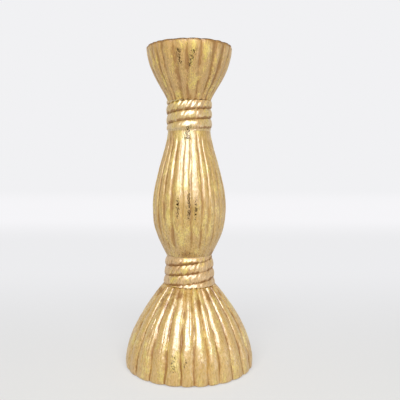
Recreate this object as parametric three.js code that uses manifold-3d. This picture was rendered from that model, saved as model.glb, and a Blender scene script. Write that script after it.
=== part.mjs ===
// A gilded candlestick in the form of a bundle that is gathered at two necks and bound there with rope.
// Three fluted castings are stacked on two turned spools and drawn together by a tie rod.
// Millimetres, +Z up. The stick's axis is the Z axis and it stands on z = 0.
// Bearings are degrees from the front (-Y), growing towards +X.
import * as THREE from "three";
import { mergeVertices } from "three/addons/utils/BufferGeometryUtils.js";
import Module from "manifold-3d";

const wasm = await Module();
wasm.setup();

// Clearances and facet counts
const FIT_GAP = 0.3; // between a piece and the hollow that takes it
const OVERCUT = 1; // how far a cutter runs past the face that it opens
const TURNED_SIDES = 36; // sides of a large turned surface
const SMALL_SIDES = 24; // sides of the hardware and of everything round the tie rod
const BEND_STEPS = 3; // facets of a small bend
const FOOT_RINGS = 8; // facets along each outline
const FOOT_HOLLOW_RINGS = 6;
const LOWER_STEM_RINGS = 5;
const UPPER_STEM_RINGS = 6;
const CUP_RINGS = 7;
const MERGE_DISTANCE = 1e-4;
const OUTLINE_PRECISION = 1e-9; // share of an outline

// Underside
const FELT_THICKNESS = 1.6;
const FELT_PROUD = 0.8; // how far the felt stands below the foot's edge
const FELT_INSET = 1; // how far the felt's edge lies inside the disc's
const DISC_THICKNESS = 3;

// Foot
const FOOT_HEIGHT = 77.2; // from the lower edge to the top face
const FOOT_RADIUS = 61; // over the crowns of the ribs, at the widest
const FOOT_TOP_RADIUS = 24.5;
const FOOT_EDGE_HEIGHT = 3.6; // height of the rounded lower edge
const FOOT_EDGE_DRAW = 1.3; // how far that edge is drawn in
const FOOT_FULLNESS = 22; // upright reach of the outline above the edge
const FOOT_SWEEP = new THREE.Vector2(18, 20); // reach of the outline, out and down, from the top
const FOOT_GROOVE = 2.4; // depth of a flute at the widest
const FOOT_WALL = 6.5; // behind the grooves
const FOOT_RIM_WALL = 3; // beside the disc's rebate
const FOOT_WEB = 8; // under the spigot socket
const FOOT_RIBS = 26;
const FOOT_FRONT_GROOVES = [-53, -36, -21, -7, 4.5, 16.5, 26.5, 40, 54.5];

// Stem
const STEM_HEIGHT = 116;
const STEM_BOTTOM_RADIUS = 21.7;
const STEM_BELLY_RADIUS = 34.7;
const STEM_BELLY_HEIGHT = 44; // of the widest part, above the stem's lower face
const STEM_TOP_RADIUS = 20.1;
const STEM_SPREAD = new THREE.Vector2(7, 14); // reach of the outline, out and up, from the bottom
const STEM_BELLY_BELOW = 20; // upright reach of the outline below the belly
const STEM_BELLY_ABOVE = 28; // and above it
const STEM_GATHER = new THREE.Vector2(1.4, 17); // reach of the outline, out and down, from the top
const STEM_GROOVE = 1.6;
const STEM_RIBS = 24;
const STEM_FRONT_GROOVES = [-56, -42.5, -28.5, -10.5, 2.5, 21, 32.5, 44.5, 57];

// Cup
const CUP_RADIUS = 39.9; // over the crowns, just below the lip
const CUP_BOTTOM_RADIUS = 20.3;
const CUP_SPREAD = new THREE.Vector2(0.9, 7.5); // reach of the outline, out and up, from the bottom
const CUP_SWELL = new THREE.Vector2(1.4, 23.7); // reach of the outline, in and down, from the lip
const CUP_GROOVE = 1.7;
const CUP_LIP_GROOVE = 0.6; // depth to which the flutes fade at the lip
const CUP_LIP_ROUND = new THREE.Vector2(1.2, 1.8); // how far the rounded lip is drawn in, and its height
const CUP_LIP_LAND = 3.1; // flat width of the lip's top
const CUP_WEB = 10; // between the spigot socket and the nut well
const CUP_BOWL_DEPTH = 19.6; // from the lip to the bowl's floor
const CUP_WALL = 5; // behind the grooves, beside the bowl's floor
const CUP_RIBS = 22;
const CUP_FRONT_GROOVES = [-59, -49, -39.5, -19, -3.5, 16, 37, 50];

// Candle pan
const PAN_SHEET = 1.2;
const PAN_LEDGE = 1.9; // width of the ledge that carries the pan's flange
const PAN_LEDGE_DEPTH = 3.4; // below the lip's top
const PAN_BEAD = 0.9; // radius of the rolled edge
const PAN_BEAD_ROLL = 210; // degrees that the edge rolls round
const PAN_BEND = 1.5; // radius inside the bend between the floor and the wall

// Spools and rope
const SPIGOT_RADIUS = 10;
const SPIGOT_LENGTH = 8;
const LOWER_SPOOL_BOTTOM_RADIUS = 19.3;
const LOWER_SPOOL_TOP_RADIUS = 17.2;
const UPPER_SPOOL_RADIUS = 16.1;
const ROPE_ROWS = 3;
const ROPE_PITCH = 9.15;
const ROPE_GAP = 0.55; // between two turns, and between the rope and each shoulder
const ROPE_THICKNESS = 4.8; // out from the spool
const ROPE_TIP = 1.2; // width to which each end tapers
const ROPE_TIP_THINNING = 0.45; // share of the thickness that a tapered end loses
const ROPE_STEPS = 24; // steps in one turn
const ROPE_SIDES = 6;
const LOWER_ROPE_START = 135; // direction in which the winding starts, from +X towards +Y
const UPPER_ROPE_START = 240;

// Tie rod and its hardware
const ROD_RADIUS = 4;
const ROD_END = 3; // thread past each nut
const ROD_CHAMFER = 0.8;
const NUT_FLATS = 13;
const NUT_HEIGHT = 6.5;
const NUT_CHAMFER = 0.6;
const NUT_ROOM = 1; // round and above the nut in the cup
const WASHER_RADIUS = 8;
const WASHER_THICKNESS = 1.6;
const PLATE_RADIUS = 18;
const PLATE_THICKNESS = 2.5;
const SPRING_WASHER_WIDTH = 3;
const SPRING_WASHER_THICKNESS = 2;
const SPRING_WASHER_SLIT = 24; // degrees

// A rib's corners across its width: place along it, and share of the groove's depth there
const RIB_CORNERS = [
  { along: 0, cut: 1 },
  { along: 0.3, cut: 0.08 },
  { along: 0.7, cut: 0.08 },
];
const GROOVE_WANDER = 1.6; // degrees that a groove out of the front's sight strays from its even place
const WANDER_RATE = 2.4; // radians from one such groove to the next

// Levels, worked out from the floor up
const SOCKET_DEPTH = SPIGOT_LENGTH + FIT_GAP;
const DISC_BOTTOM = FELT_THICKNESS;
const DISC_TOP = DISC_BOTTOM + DISC_THICKNESS;
const FOOT_BOTTOM = FELT_PROUD;
const FOOT_TOP = FOOT_BOTTOM + FOOT_HEIGHT;
const FOOT_HOLLOW_TOP = FOOT_TOP - SOCKET_DEPTH - FOOT_WEB;
const BAND_HEIGHT = ROPE_ROWS * ROPE_PITCH + ROPE_GAP;
const STEM_BOTTOM = FOOT_TOP + BAND_HEIGHT;
const STEM_TOP = STEM_BOTTOM + STEM_HEIGHT;
const CUP_BOTTOM = STEM_TOP + BAND_HEIGHT;
const NUT_SEAT = CUP_BOTTOM + SOCKET_DEPTH + CUP_WEB;
const ROD_TOP = NUT_SEAT + WASHER_THICKNESS + NUT_HEIGHT + ROD_END;
const BOWL_FLOOR = ROD_TOP + NUT_ROOM;
const CUP_TOP = BOWL_FLOOR + CUP_BOWL_DEPTH;
const LEDGE_LEVEL = CUP_TOP - PAN_LEDGE_DEPTH;
const PLATE_BOTTOM = FOOT_HOLLOW_TOP - PLATE_THICKNESS;
const SPRING_WASHER_BOTTOM = PLATE_BOTTOM - SPRING_WASHER_THICKNESS;
const FOOT_NUT_BOTTOM = SPRING_WASHER_BOTTOM - NUT_HEIGHT;
const ROD_BOTTOM = FOOT_NUT_BOTTOM - ROD_END;

// Radii that follow from the fits
const ROD_HOLE = ROD_RADIUS + FIT_GAP;
const SOCKET_RADIUS = SPIGOT_RADIUS + FIT_GAP;
const NUT_CORNERS = NUT_FLATS / Math.sqrt(3);
const NUT_WELL = Math.max(NUT_CORNERS, WASHER_RADIUS) + NUT_ROOM;
const REBATE_RADIUS = FOOT_RADIUS - FOOT_EDGE_DRAW - FOOT_GROOVE - FOOT_RIM_WALL;
const DISC_RADIUS = REBATE_RADIUS - FIT_GAP;
const FELT_RADIUS = DISC_RADIUS - FELT_INSET;
const LIP_BORE = CUP_RADIUS - CUP_LIP_ROUND.x - CUP_LIP_LAND;
const BOWL_MOUTH = LIP_BORE - PAN_LEDGE;

// Finishes
const finish = (color, roughness, metalness) => ({ color, roughness, metalness });
const GILDING = finish(0xc3a36e, 0.38, 0.85);
const ROPE_GILDING = finish(0xcdae72, 0.34, 0.85);
const BARE_CASTING = finish(0x7a4a34, 0.7, 0);
const BRASS = finish(0xb8954e, 0.3, 1);
const ZINC_STEEL = finish(0xa7a8a6, 0.4, 1);
const FELT = finish(0x2f3529, 0.95, 0);
const FIBREBOARD = finish(0x8c6c48, 0.85, 0);

// Solids

function toSolid(geometry) {
  const bare = new THREE.BufferGeometry();
  bare.setAttribute("position", geometry.getAttribute("position"));
  bare.setIndex(geometry.index);
  const merged = mergeVertices(bare, MERGE_DISTANCE);
  const corners = merged.index.array;
  const triangles = [];
  for (let i = 0; i < corners.length; i += 3) {
    const [a, b, c] = corners.slice(i, i + 3);
    if (a !== b && b !== c && c !== a) triangles.push(a, b, c);
  }
  return new wasm.Manifold(
    new wasm.Mesh({
      numProp: 3,
      vertProperties: new Float32Array(merged.getAttribute("position").array),
      triVerts: new Uint32Array(triangles),
    }),
  );
}

function toGeometry(solid) {
  const { vertProperties, triVerts, numProp } = solid.getMesh();
  const geometry = new THREE.BufferGeometry();
  const positions = new THREE.InterleavedBuffer(vertProperties, numProp);
  geometry.setAttribute("position", new THREE.InterleavedBufferAttribute(positions, 3, 0));
  geometry.setIndex(new THREE.BufferAttribute(triVerts, 1));
  const flat = geometry.toNonIndexed();
  flat.computeVertexNormals();
  return flat;
}

// A turned solid from its outline, given as [radius, level] pairs anticlockwise with the axis on the left.
function turned(outline, sides = TURNED_SIDES) {
  const points = outline.map(([radius, level]) => new THREE.Vector2(radius, level));
  return toSolid(new THREE.LatheGeometry(points, sides).rotateX(Math.PI / 2));
}

function turnedRing(outline, sides = TURNED_SIDES) {
  return turned([...outline, outline[0]], sides);
}

function cylinder(radius, bottom, top, sides = SMALL_SIDES) {
  return turned([[0, bottom], [radius, bottom], [radius, top], [0, top]], sides);
}

// Points [radius, level] on an arc, with angles in degrees from level outwards.
function bend([radius, level], reach, from, to, steps = BEND_STEPS) {
  return Array.from({ length: steps + 1 }, (_, i) => {
    const angle = THREE.MathUtils.degToRad(THREE.MathUtils.lerp(from, to, i / steps));
    return [radius + reach * Math.cos(angle), level + reach * Math.sin(angle)];
  });
}

function washer(radius, bottom, thickness) {
  const top = bottom + thickness;
  return turnedRing([[ROD_HOLE, bottom], [radius, bottom], [radius, top], [ROD_HOLE, top]], SMALL_SIDES);
}

// Fluted sections

const bezier = (...points) => new THREE.CubicBezierCurve(...points.map(([x, y]) => new THREE.Vector2(x, y)));

const footOutline = bezier(
  [FOOT_RADIUS, FOOT_BOTTOM + FOOT_EDGE_HEIGHT],
  [FOOT_RADIUS, FOOT_BOTTOM + FOOT_EDGE_HEIGHT + FOOT_FULLNESS],
  [FOOT_TOP_RADIUS + FOOT_SWEEP.x, FOOT_TOP - FOOT_SWEEP.y],
  [FOOT_TOP_RADIUS, FOOT_TOP],
);
const STEM_BELLY_LEVEL = STEM_BOTTOM + STEM_BELLY_HEIGHT;
const lowerStemOutline = bezier(
  [STEM_BOTTOM_RADIUS, STEM_BOTTOM],
  [STEM_BOTTOM_RADIUS + STEM_SPREAD.x, STEM_BOTTOM + STEM_SPREAD.y],
  [STEM_BELLY_RADIUS, STEM_BELLY_LEVEL - STEM_BELLY_BELOW],
  [STEM_BELLY_RADIUS, STEM_BELLY_LEVEL],
);
const upperStemOutline = bezier(
  [STEM_BELLY_RADIUS, STEM_BELLY_LEVEL],
  [STEM_BELLY_RADIUS, STEM_BELLY_LEVEL + STEM_BELLY_ABOVE],
  [STEM_TOP_RADIUS + STEM_GATHER.x, STEM_TOP - STEM_GATHER.y],
  [STEM_TOP_RADIUS, STEM_TOP],
);
const LIP_LEVEL = CUP_TOP - CUP_LIP_ROUND.y;
const cupOutline = bezier(
  [CUP_BOTTOM_RADIUS, CUP_BOTTOM],
  [CUP_BOTTOM_RADIUS + CUP_SPREAD.x, CUP_BOTTOM + CUP_SPREAD.y],
  [CUP_RADIUS - CUP_SWELL.x, LIP_LEVEL - CUP_SWELL.y],
  [CUP_RADIUS, LIP_LEVEL],
);

// Rings along an outline; the flutes get shallower with the radius, as gathered folds do.
function rings(outline, count, grooveAtWidest, widest) {
  return outline.getPoints(count).map(({ x, y }) => ({
    radius: x,
    level: y,
    groove: (grooveAtWidest * x) / widest,
  }));
}

function radiusAt(outline, level) {
  let low = 0;
  let high = 1;
  while (high - low > OUTLINE_PRECISION) {
    const middle = (low + high) / 2;
    if (outline.getPoint(middle).y < level) low = middle;
    else high = middle;
  }
  return outline.getPoint(low).x;
}

// The grooves read off the front, and the rest of the flutes shared out round the back.
function grooveBearings(frontGrooves, ribs) {
  const first = frontGrooves[0];
  const last = frontGrooves[frontGrooves.length - 1];
  const hidden = ribs - frontGrooves.length;
  const step = (360 - (last - first)) / (hidden + 1);
  const behind = Array.from(
    { length: hidden },
    (_, i) => last + step * (i + 1) + GROOVE_WANDER * Math.sin(WANDER_RATE * (i + 1)),
  );
  return [...frontGrooves, ...behind];
}

function flutedSolid(stations, bearings) {
  const columns = bearings.flatMap((bearing, i) => {
    const next = i + 1 < bearings.length ? bearings[i + 1] : bearings[0] + 360;
    return RIB_CORNERS.map(({ along, cut }) => ({
      angle: THREE.MathUtils.degToRad(bearing + along * (next - bearing) - 90),
      cut,
    }));
  });
  const positions = stations.flatMap(({ radius, level, groove }) =>
    columns.flatMap(({ angle, cut }) => {
      const reach = radius - groove * cut;
      return [reach * Math.cos(angle), reach * Math.sin(angle), level];
    }),
  );
  const count = columns.length;
  const bottomCentre = stations.length * count;
  const topCentre = bottomCentre + 1;
  positions.push(0, 0, stations[0].level, 0, 0, stations[stations.length - 1].level);
  const topRing = bottomCentre - count;
  const index = [];
  for (let j = 0; j < count; j += 1) {
    const k = (j + 1) % count;
    for (let ring = 0; ring < topRing; ring += count) {
      index.push(ring + j, ring + k, ring + count + k);
      index.push(ring + j, ring + count + k, ring + count + j);
    }
    index.push(bottomCentre, k, j);
    index.push(topCentre, topRing + j, topRing + k);
  }
  const geometry = new THREE.BufferGeometry();
  geometry.setAttribute("position", new THREE.Float32BufferAttribute(positions, 3));
  geometry.setIndex(index);
  return toSolid(geometry);
}

function footBell() {
  const edge = { radius: FOOT_RADIUS - FOOT_EDGE_DRAW, level: FOOT_BOTTOM, groove: FOOT_GROOVE };
  const shell = flutedSolid(
    [edge, ...rings(footOutline, FOOT_RINGS, FOOT_GROOVE, FOOT_RADIUS)],
    grooveBearings(FOOT_FRONT_GROOVES, FOOT_RIBS),
  );
  const hollowRadius = (level) => {
    const crown = radiusAt(footOutline, level);
    return crown - (FOOT_GROOVE * crown) / FOOT_RADIUS - FOOT_WALL;
  };
  const hollowWall = Array.from({ length: FOOT_HOLLOW_RINGS + 1 }, (_, i) => {
    const level = THREE.MathUtils.lerp(DISC_TOP, FOOT_HOLLOW_TOP, i / FOOT_HOLLOW_RINGS);
    return [hollowRadius(level), level];
  });
  const mouth = DISC_TOP - OVERCUT;
  const hollow = turned([[0, mouth], [hollowWall[0][0], mouth], ...hollowWall, [0, FOOT_HOLLOW_TOP]]);
  return shell
    .subtract(hollow)
    .subtract(cylinder(REBATE_RADIUS, FOOT_BOTTOM - OVERCUT, DISC_TOP, TURNED_SIDES))
    .subtract(cylinder(ROD_HOLE, FOOT_HOLLOW_TOP - OVERCUT, FOOT_TOP))
    .subtract(cylinder(SOCKET_RADIUS, FOOT_TOP - SOCKET_DEPTH, FOOT_TOP + OVERCUT));
}

function stemBaluster() {
  const lower = rings(lowerStemOutline, LOWER_STEM_RINGS, STEM_GROOVE, STEM_BELLY_RADIUS);
  const upper = rings(upperStemOutline, UPPER_STEM_RINGS, STEM_GROOVE, STEM_BELLY_RADIUS);
  return flutedSolid([...lower, ...upper.slice(1)], grooveBearings(STEM_FRONT_GROOVES, STEM_RIBS))
    .subtract(cylinder(ROD_HOLE, STEM_BOTTOM - OVERCUT, STEM_TOP + OVERCUT))
    .subtract(cylinder(SOCKET_RADIUS, STEM_BOTTOM - OVERCUT, STEM_BOTTOM + SOCKET_DEPTH))
    .subtract(cylinder(SOCKET_RADIUS, STEM_TOP - SOCKET_DEPTH, STEM_TOP + OVERCUT));
}

const BOWL_FLOOR_RADIUS = radiusAt(cupOutline, BOWL_FLOOR) - CUP_GROOVE - CUP_WALL;

function candleCup() {
  const wall = rings(cupOutline, CUP_RINGS, CUP_GROOVE, CUP_RADIUS);
  wall[wall.length - 1].groove = (CUP_GROOVE + CUP_LIP_GROOVE) / 2;
  const lip = Array.from({ length: BEND_STEPS }, (_, i) => {
    const turn = ((i + 1) / BEND_STEPS) * (Math.PI / 2);
    return {
      radius: CUP_RADIUS - CUP_LIP_ROUND.x * (1 - Math.cos(turn)),
      level: LIP_LEVEL + CUP_LIP_ROUND.y * Math.sin(turn),
      groove: CUP_LIP_GROOVE,
    };
  });
  const bowl = turned([
    [0, BOWL_FLOOR],
    [BOWL_FLOOR_RADIUS, BOWL_FLOOR],
    [BOWL_MOUTH, LEDGE_LEVEL],
    [LIP_BORE, LEDGE_LEVEL],
    [LIP_BORE, CUP_TOP + OVERCUT],
    [0, CUP_TOP + OVERCUT],
  ]);
  return flutedSolid([...wall, ...lip], grooveBearings(CUP_FRONT_GROOVES, CUP_RIBS))
    .subtract(bowl)
    .subtract(cylinder(NUT_WELL, NUT_SEAT, BOWL_FLOOR + OVERCUT))
    .subtract(cylinder(ROD_HOLE, CUP_BOTTOM, NUT_SEAT + OVERCUT))
    .subtract(cylinder(SOCKET_RADIUS, CUP_BOTTOM - OVERCUT, CUP_BOTTOM + SOCKET_DEPTH));
}

// The pan hangs by its rolled edge on the cup's ledge, clear of the bowl all round.
function candlePan() {
  const bottom = BOWL_FLOOR + FIT_GAP;
  const floor = bottom + PAN_SHEET;
  const mouth = BOWL_MOUTH - FIT_GAP;
  const flange = LIP_BORE - FIT_GAP;
  const bendCentre = [BOWL_FLOOR_RADIUS - FIT_GAP - PAN_BEND - PAN_SHEET, floor + PAN_BEND];
  const beadCentre = [flange - PAN_BEAD, LEDGE_LEVEL + PAN_BEAD];
  return turned([
    [0, bottom],
    ...bend(bendCentre, PAN_BEND + PAN_SHEET, -90, 0),
    [mouth, LEDGE_LEVEL],
    ...bend(beadCentre, PAN_BEAD, -90, PAN_BEAD_ROLL - 90),
    [mouth - PAN_SHEET, LEDGE_LEVEL + PAN_SHEET],
    ...bend(bendCentre, PAN_BEND, 0, -90),
    [0, floor],
  ]);
}

// Spools and rope: each neck is the level of its lower shoulder and its spool's radius below and above.

const LOWER_NECK = [FOOT_TOP, LOWER_SPOOL_BOTTOM_RADIUS, LOWER_SPOOL_TOP_RADIUS];
const UPPER_NECK = [STEM_TOP, UPPER_SPOOL_RADIUS, UPPER_SPOOL_RADIUS];

function spool(bottom, bottomRadius, topRadius) {
  const top = bottom + BAND_HEIGHT;
  return turnedRing(
    [
      [ROD_HOLE, bottom - SPIGOT_LENGTH],
      [SPIGOT_RADIUS, bottom - SPIGOT_LENGTH],
      [SPIGOT_RADIUS, bottom],
      [bottomRadius, bottom],
      [topRadius, top],
      [SPIGOT_RADIUS, top],
      [SPIGOT_RADIUS, top + SPIGOT_LENGTH],
      [ROD_HOLE, top + SPIGOT_LENGTH],
    ],
    ROPE_STEPS,
  );
}

// The corners of a rope winding, one ring of section points for each step.
// Its lower edge leaves the lower shoulder after one turn, and its upper edge meets the upper shoulder one
// turn before the end, so both ends taper into the wedge that the rise of the turns leaves.
function ropeRings(startDirection, [bottom, bottomRadius, topRadius]) {
  const spoolRadius = (level) =>
    THREE.MathUtils.mapLinear(level, bottom, bottom + BAND_HEIGHT, bottomRadius, topRadius);
  const tipSteps = Math.ceil(((ROPE_TIP + ROPE_GAP) / ROPE_PITCH) * ROPE_STEPS);
  const lastStep = (ROPE_ROWS + 1) * ROPE_STEPS - tipSteps;
  const fullWidth = ROPE_PITCH - ROPE_GAP;
  const found = [];
  for (let step = tipSteps; step <= lastStep; step += 1) {
    const turns = step / ROPE_STEPS;
    const low = bottom + ROPE_GAP + ROPE_PITCH * Math.max(0, turns - 1);
    const high = bottom + ROPE_PITCH * Math.min(ROPE_ROWS, turns);
    const width = high - low;
    const thickness = ROPE_THICKNESS * (1 - ROPE_TIP_THINNING * (1 - width / fullWidth));
    const direction = THREE.MathUtils.degToRad(startDirection) + turns * 2 * Math.PI;
    const ring = [];
    for (let side = 0; side < ROPE_SIDES; side += 1) {
      const around = ((side + 0.5) / ROPE_SIDES) * 2 * Math.PI;
      const level = (low + high) / 2 + (width / 2) * Math.sin(around);
      const inner = spoolRadius(level) + FIT_GAP;
      const reach = inner + (thickness / 2) * (Math.cos(around) + Math.cos(Math.PI / ROPE_SIDES));
      ring.push(new THREE.Vector3(reach * Math.cos(direction), reach * Math.sin(direction), level));
    }
    found.push(ring);
  }
  return found;
}

function tubeSolid(tubeRings) {
  const sides = tubeRings[0].length;
  const last = (tubeRings.length - 1) * sides;
  const index = [];
  for (let ring = 0; ring < last; ring += sides) {
    for (let j = 0; j < sides; j += 1) {
      const k = (j + 1) % sides;
      index.push(ring + j, ring + sides + j, ring + sides + k);
      index.push(ring + j, ring + sides + k, ring + k);
    }
  }
  for (let j = 1; j < sides - 1; j += 1) {
    index.push(0, j, j + 1);
    index.push(last, last + j + 1, last + j);
  }
  const geometry = new THREE.BufferGeometry().setFromPoints(tubeRings.flat());
  geometry.setIndex(index);
  return toSolid(geometry);
}

// Least distance between points of a winding that lie more than half a turn apart along it.
function leastSelfGap(tubeRings) {
  let least = Infinity;
  tubeRings.forEach((ring, i) => {
    for (const other of tubeRings.slice(i + ROPE_STEPS / 2)) {
      for (const a of ring) for (const b of other) least = Math.min(least, a.distanceTo(b));
    }
  });
  return least;
}

function ropeBinding(name, startDirection, neck) {
  const tubeRings = ropeRings(startDirection, neck);
  console.log(`${name}: least gap to itself ${leastSelfGap(tubeRings).toFixed(2)} mm`);
  return tubeSolid(tubeRings);
}

// Hardware

function tieRod() {
  const end = ROD_RADIUS - ROD_CHAMFER;
  return turned(
    [
      [0, ROD_BOTTOM],
      [end, ROD_BOTTOM],
      [ROD_RADIUS, ROD_BOTTOM + ROD_CHAMFER],
      [ROD_RADIUS, ROD_TOP - ROD_CHAMFER],
      [end, ROD_TOP],
      [0, ROD_TOP],
    ],
    SMALL_SIDES,
  );
}

function hexNut(bottom) {
  const outline = Array.from({ length: 6 }, (_, i) => {
    const angle = (i * Math.PI) / 3;
    return new THREE.Vector2(NUT_CORNERS * Math.cos(angle), NUT_CORNERS * Math.sin(angle));
  });
  const prism = new THREE.ExtrudeGeometry(new THREE.Shape(outline), {
    depth: NUT_HEIGHT,
    bevelEnabled: false,
  }).translate(0, 0, bottom);
  const top = bottom + NUT_HEIGHT;
  const chamfered = turned(
    [
      [0, bottom],
      [NUT_CORNERS - NUT_CHAMFER, bottom],
      [NUT_CORNERS + NUT_CHAMFER, bottom + NUT_CHAMFER],
      [NUT_CORNERS + NUT_CHAMFER, top - NUT_CHAMFER],
      [NUT_CORNERS - NUT_CHAMFER, top],
      [0, top],
    ],
    SMALL_SIDES,
  );
  return toSolid(prism).intersect(chamfered).subtract(cylinder(ROD_HOLE, bottom - OVERCUT, top + OVERCUT));
}

function springWasher(bottom) {
  const slit = THREE.MathUtils.degToRad(SPRING_WASHER_SLIT / 2);
  const outline = new THREE.Shape();
  outline.absarc(0, 0, ROD_HOLE + SPRING_WASHER_WIDTH, slit, 2 * Math.PI - slit, false);
  outline.absarc(0, 0, ROD_HOLE, 2 * Math.PI - slit, slit, true);
  const ring = new THREE.ExtrudeGeometry(outline, {
    depth: SPRING_WASHER_THICKNESS,
    bevelEnabled: false,
    curveSegments: SMALL_SIDES,
  });
  ring.translate(0, 0, bottom);
  return toSolid(ring);
}

// Assembly

const candlestick = new THREE.Group();
candlestick.name = "candlestick";

function place(name, solid, look) {
  const mesh = new THREE.Mesh(toGeometry(solid), new THREE.MeshStandardMaterial(look));
  mesh.name = name;
  candlestick.add(mesh);
}

place("felt_pad", cylinder(FELT_RADIUS, 0, FELT_THICKNESS, TURNED_SIDES), FELT);
place("base_disc", cylinder(DISC_RADIUS, DISC_BOTTOM, DISC_TOP, TURNED_SIDES), FIBREBOARD);
place("foot_bell", footBell(), GILDING);
place("lower_spool", spool(...LOWER_NECK), BARE_CASTING);
place("lower_rope_binding", ropeBinding("lower_rope_binding", LOWER_ROPE_START, LOWER_NECK), ROPE_GILDING);
place("stem_baluster", stemBaluster(), GILDING);
place("upper_spool", spool(...UPPER_NECK), BARE_CASTING);
place("upper_rope_binding", ropeBinding("upper_rope_binding", UPPER_ROPE_START, UPPER_NECK), ROPE_GILDING);
place("candle_cup", candleCup(), GILDING);
place("candle_pan", candlePan(), BRASS);
place("tie_rod", tieRod(), ZINC_STEEL);
place("cup_washer", washer(WASHER_RADIUS, NUT_SEAT, WASHER_THICKNESS), ZINC_STEEL);
place("cup_nut", hexNut(NUT_SEAT + WASHER_THICKNESS), ZINC_STEEL);
place("clamp_plate", washer(PLATE_RADIUS, PLATE_BOTTOM, PLATE_THICKNESS), ZINC_STEEL);
place("spring_washer", springWasher(SPRING_WASHER_BOTTOM), ZINC_STEEL);
place("foot_nut", hexNut(FOOT_NUT_BOTTOM), ZINC_STEEL);

export default candlestick;
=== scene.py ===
"""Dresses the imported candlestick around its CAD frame.

Three fluted castings under aged gold leaf, two gilded rope bindings, a lift-out brass pan and the felted
base are modelled here. The spools, the rod, its nuts and its washers keep their CAD shapes and get finishes
of their own. Sizes are metres in the frame's axes: +Z up the stick, -Y towards the camera, +X to the
camera's right. A bearing is an angle in degrees round the stick, 0 at the front and positive towards +X.
"""

import logging
import math
import random
from collections.abc import Iterator, Sequence
from contextlib import contextmanager
from dataclasses import dataclass
from enum import Enum
from functools import reduce
from typing import NamedTuple

import bpy
import numpy as np
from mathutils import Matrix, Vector


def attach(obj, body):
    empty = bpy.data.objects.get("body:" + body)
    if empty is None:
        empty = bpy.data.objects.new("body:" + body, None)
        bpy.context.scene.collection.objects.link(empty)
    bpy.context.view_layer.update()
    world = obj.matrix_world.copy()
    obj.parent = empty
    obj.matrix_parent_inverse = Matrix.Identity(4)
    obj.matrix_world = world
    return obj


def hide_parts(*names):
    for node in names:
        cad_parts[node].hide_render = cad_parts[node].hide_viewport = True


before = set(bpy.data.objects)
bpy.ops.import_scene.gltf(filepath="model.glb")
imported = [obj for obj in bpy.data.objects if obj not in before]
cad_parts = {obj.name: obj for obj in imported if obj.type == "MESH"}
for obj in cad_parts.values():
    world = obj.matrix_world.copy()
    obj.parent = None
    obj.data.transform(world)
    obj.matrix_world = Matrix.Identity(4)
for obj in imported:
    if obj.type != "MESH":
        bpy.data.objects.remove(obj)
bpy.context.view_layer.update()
LOG = logging.getLogger("candlestick")

WELD_DISTANCE = 2e-6
FULL_TURN = 2 * math.pi

Colour = tuple[float, float, float]
Point = tuple[float, float]
Span = tuple[float, float]
Socket = bpy.types.NodeSocket
Feed = Socket | float | tuple[float, ...]


# Names and values that the pieces share


class Body(Enum):
    """The moving bodies that pieces ride on."""

    STICK = "stick"
    PAN = "pan"


class Slot(Enum):
    """The names of the record's material slots."""

    GILDING = "gilding"
    ROPE = "rope_gilding"
    BRASS = "brass"
    FELT = "felt"
    BOARD = "fibreboard"


class Layer(Enum):
    """Vertex groups and attributes that the pieces carry."""

    RELIEF = "relief"
    CUT = "cut"
    # hollow holds the glazed hollows and also painted shade by the rope bindings and under the ropes' rows.
    HOLLOW = "hollow"
    FLECKS = "flecks"


class Push(Enum):
    """The ways in which a texture pushes a piece's points."""

    NORMAL = "NORMAL"
    COLOURS = "RGB_TO_XYZ"


class Side(Enum):
    """The sides of a rope band, as signs of height."""

    BELOW = -1
    ABOVE = 1


class Kind(Enum):
    """The kinds of socket that a shared effect has."""

    VALUE = "NodeSocketFloat"
    COLOUR = "NodeSocketColor"
    VECTOR = "NodeSocketVector"


class Maths(Enum):
    """The operations that node graphs work with."""

    ADD = "ADD"
    SUBTRACT = "SUBTRACT"
    MULTIPLY = "MULTIPLY"
    DIVIDE = "DIVIDE"
    MULTIPLY_ADD = "MULTIPLY_ADD"
    MINIMUM = "MINIMUM"
    MAXIMUM = "MAXIMUM"
    SQRT = "SQRT"
    ARCTAN2 = "ARCTAN2"
    PINGPONG = "PINGPONG"


class Ring(NamedTuple):
    """One ring of a turned outline, with the share of the full flute depth that it takes."""

    radius: float
    level: float
    relief: float = 0.0


class FleckCluster(NamedTuple):
    """A patch of dark flecks that runs from a low bearing and level to a high one.

    spread is its half width in degrees, and thickness says how close its flecks lie.
    """

    low_bearing: float
    low: float
    high_bearing: float
    high: float
    spread: float
    thickness: float = 1.0


class Shade(NamedTuple):
    """A band round a casting, darkened with glaze colour from the level where it starts to where it is
    full.

    Beside a rope binding it is glaze and painted shade together; elsewhere it makes a darker edge line.
    """

    start: float
    full: float
    amount: float


class Grain(NamedTuple):
    """A noise pattern: the stretch of its coordinates, its scale, octaves, their roughness and a shift."""

    stretch: tuple[float, float, float]
    scale: float
    detail: float
    rough: float
    shift: tuple[float, float, float] = (0.0, 0.0, 0.0)


class Lamp(NamedTuple):
    """A soft rectangular lamp, given by where it hangs round the object, its size and its power."""

    name: str
    distance: float
    elevation: float
    bearing: float
    size: tuple[float, float]
    power: float


class Neck(NamedTuple):
    """The levels of the shoulders below and above a rope binding."""

    bottom: float
    top: float


@dataclass(frozen=True)
class Bowl:
    """The inside of the cup, which the pan fits.

    Attributes:
        floor: The level of its floor.
        floor_radius: The radius of that floor.
        ledge: The level of the ledge that the pan's edge rests on.
        mouth: The radius of its mouth, inside the ledge.
        bore: The radius above the ledge, inside the lip.
    """

    floor: float = 0.2804
    floor_radius: float = 0.02918
    ledge: float = 0.2966
    mouth: float = 0.0337
    bore: float = 0.0356


# Levels where neighbouring pieces meet
FELT_TOP = 0.0016
BOARD_TOP = 0.0046
LOWER_NECK = Neck(0.078, 0.106)
UPPER_NECK = Neck(0.222, 0.250)


# Modelling


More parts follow.
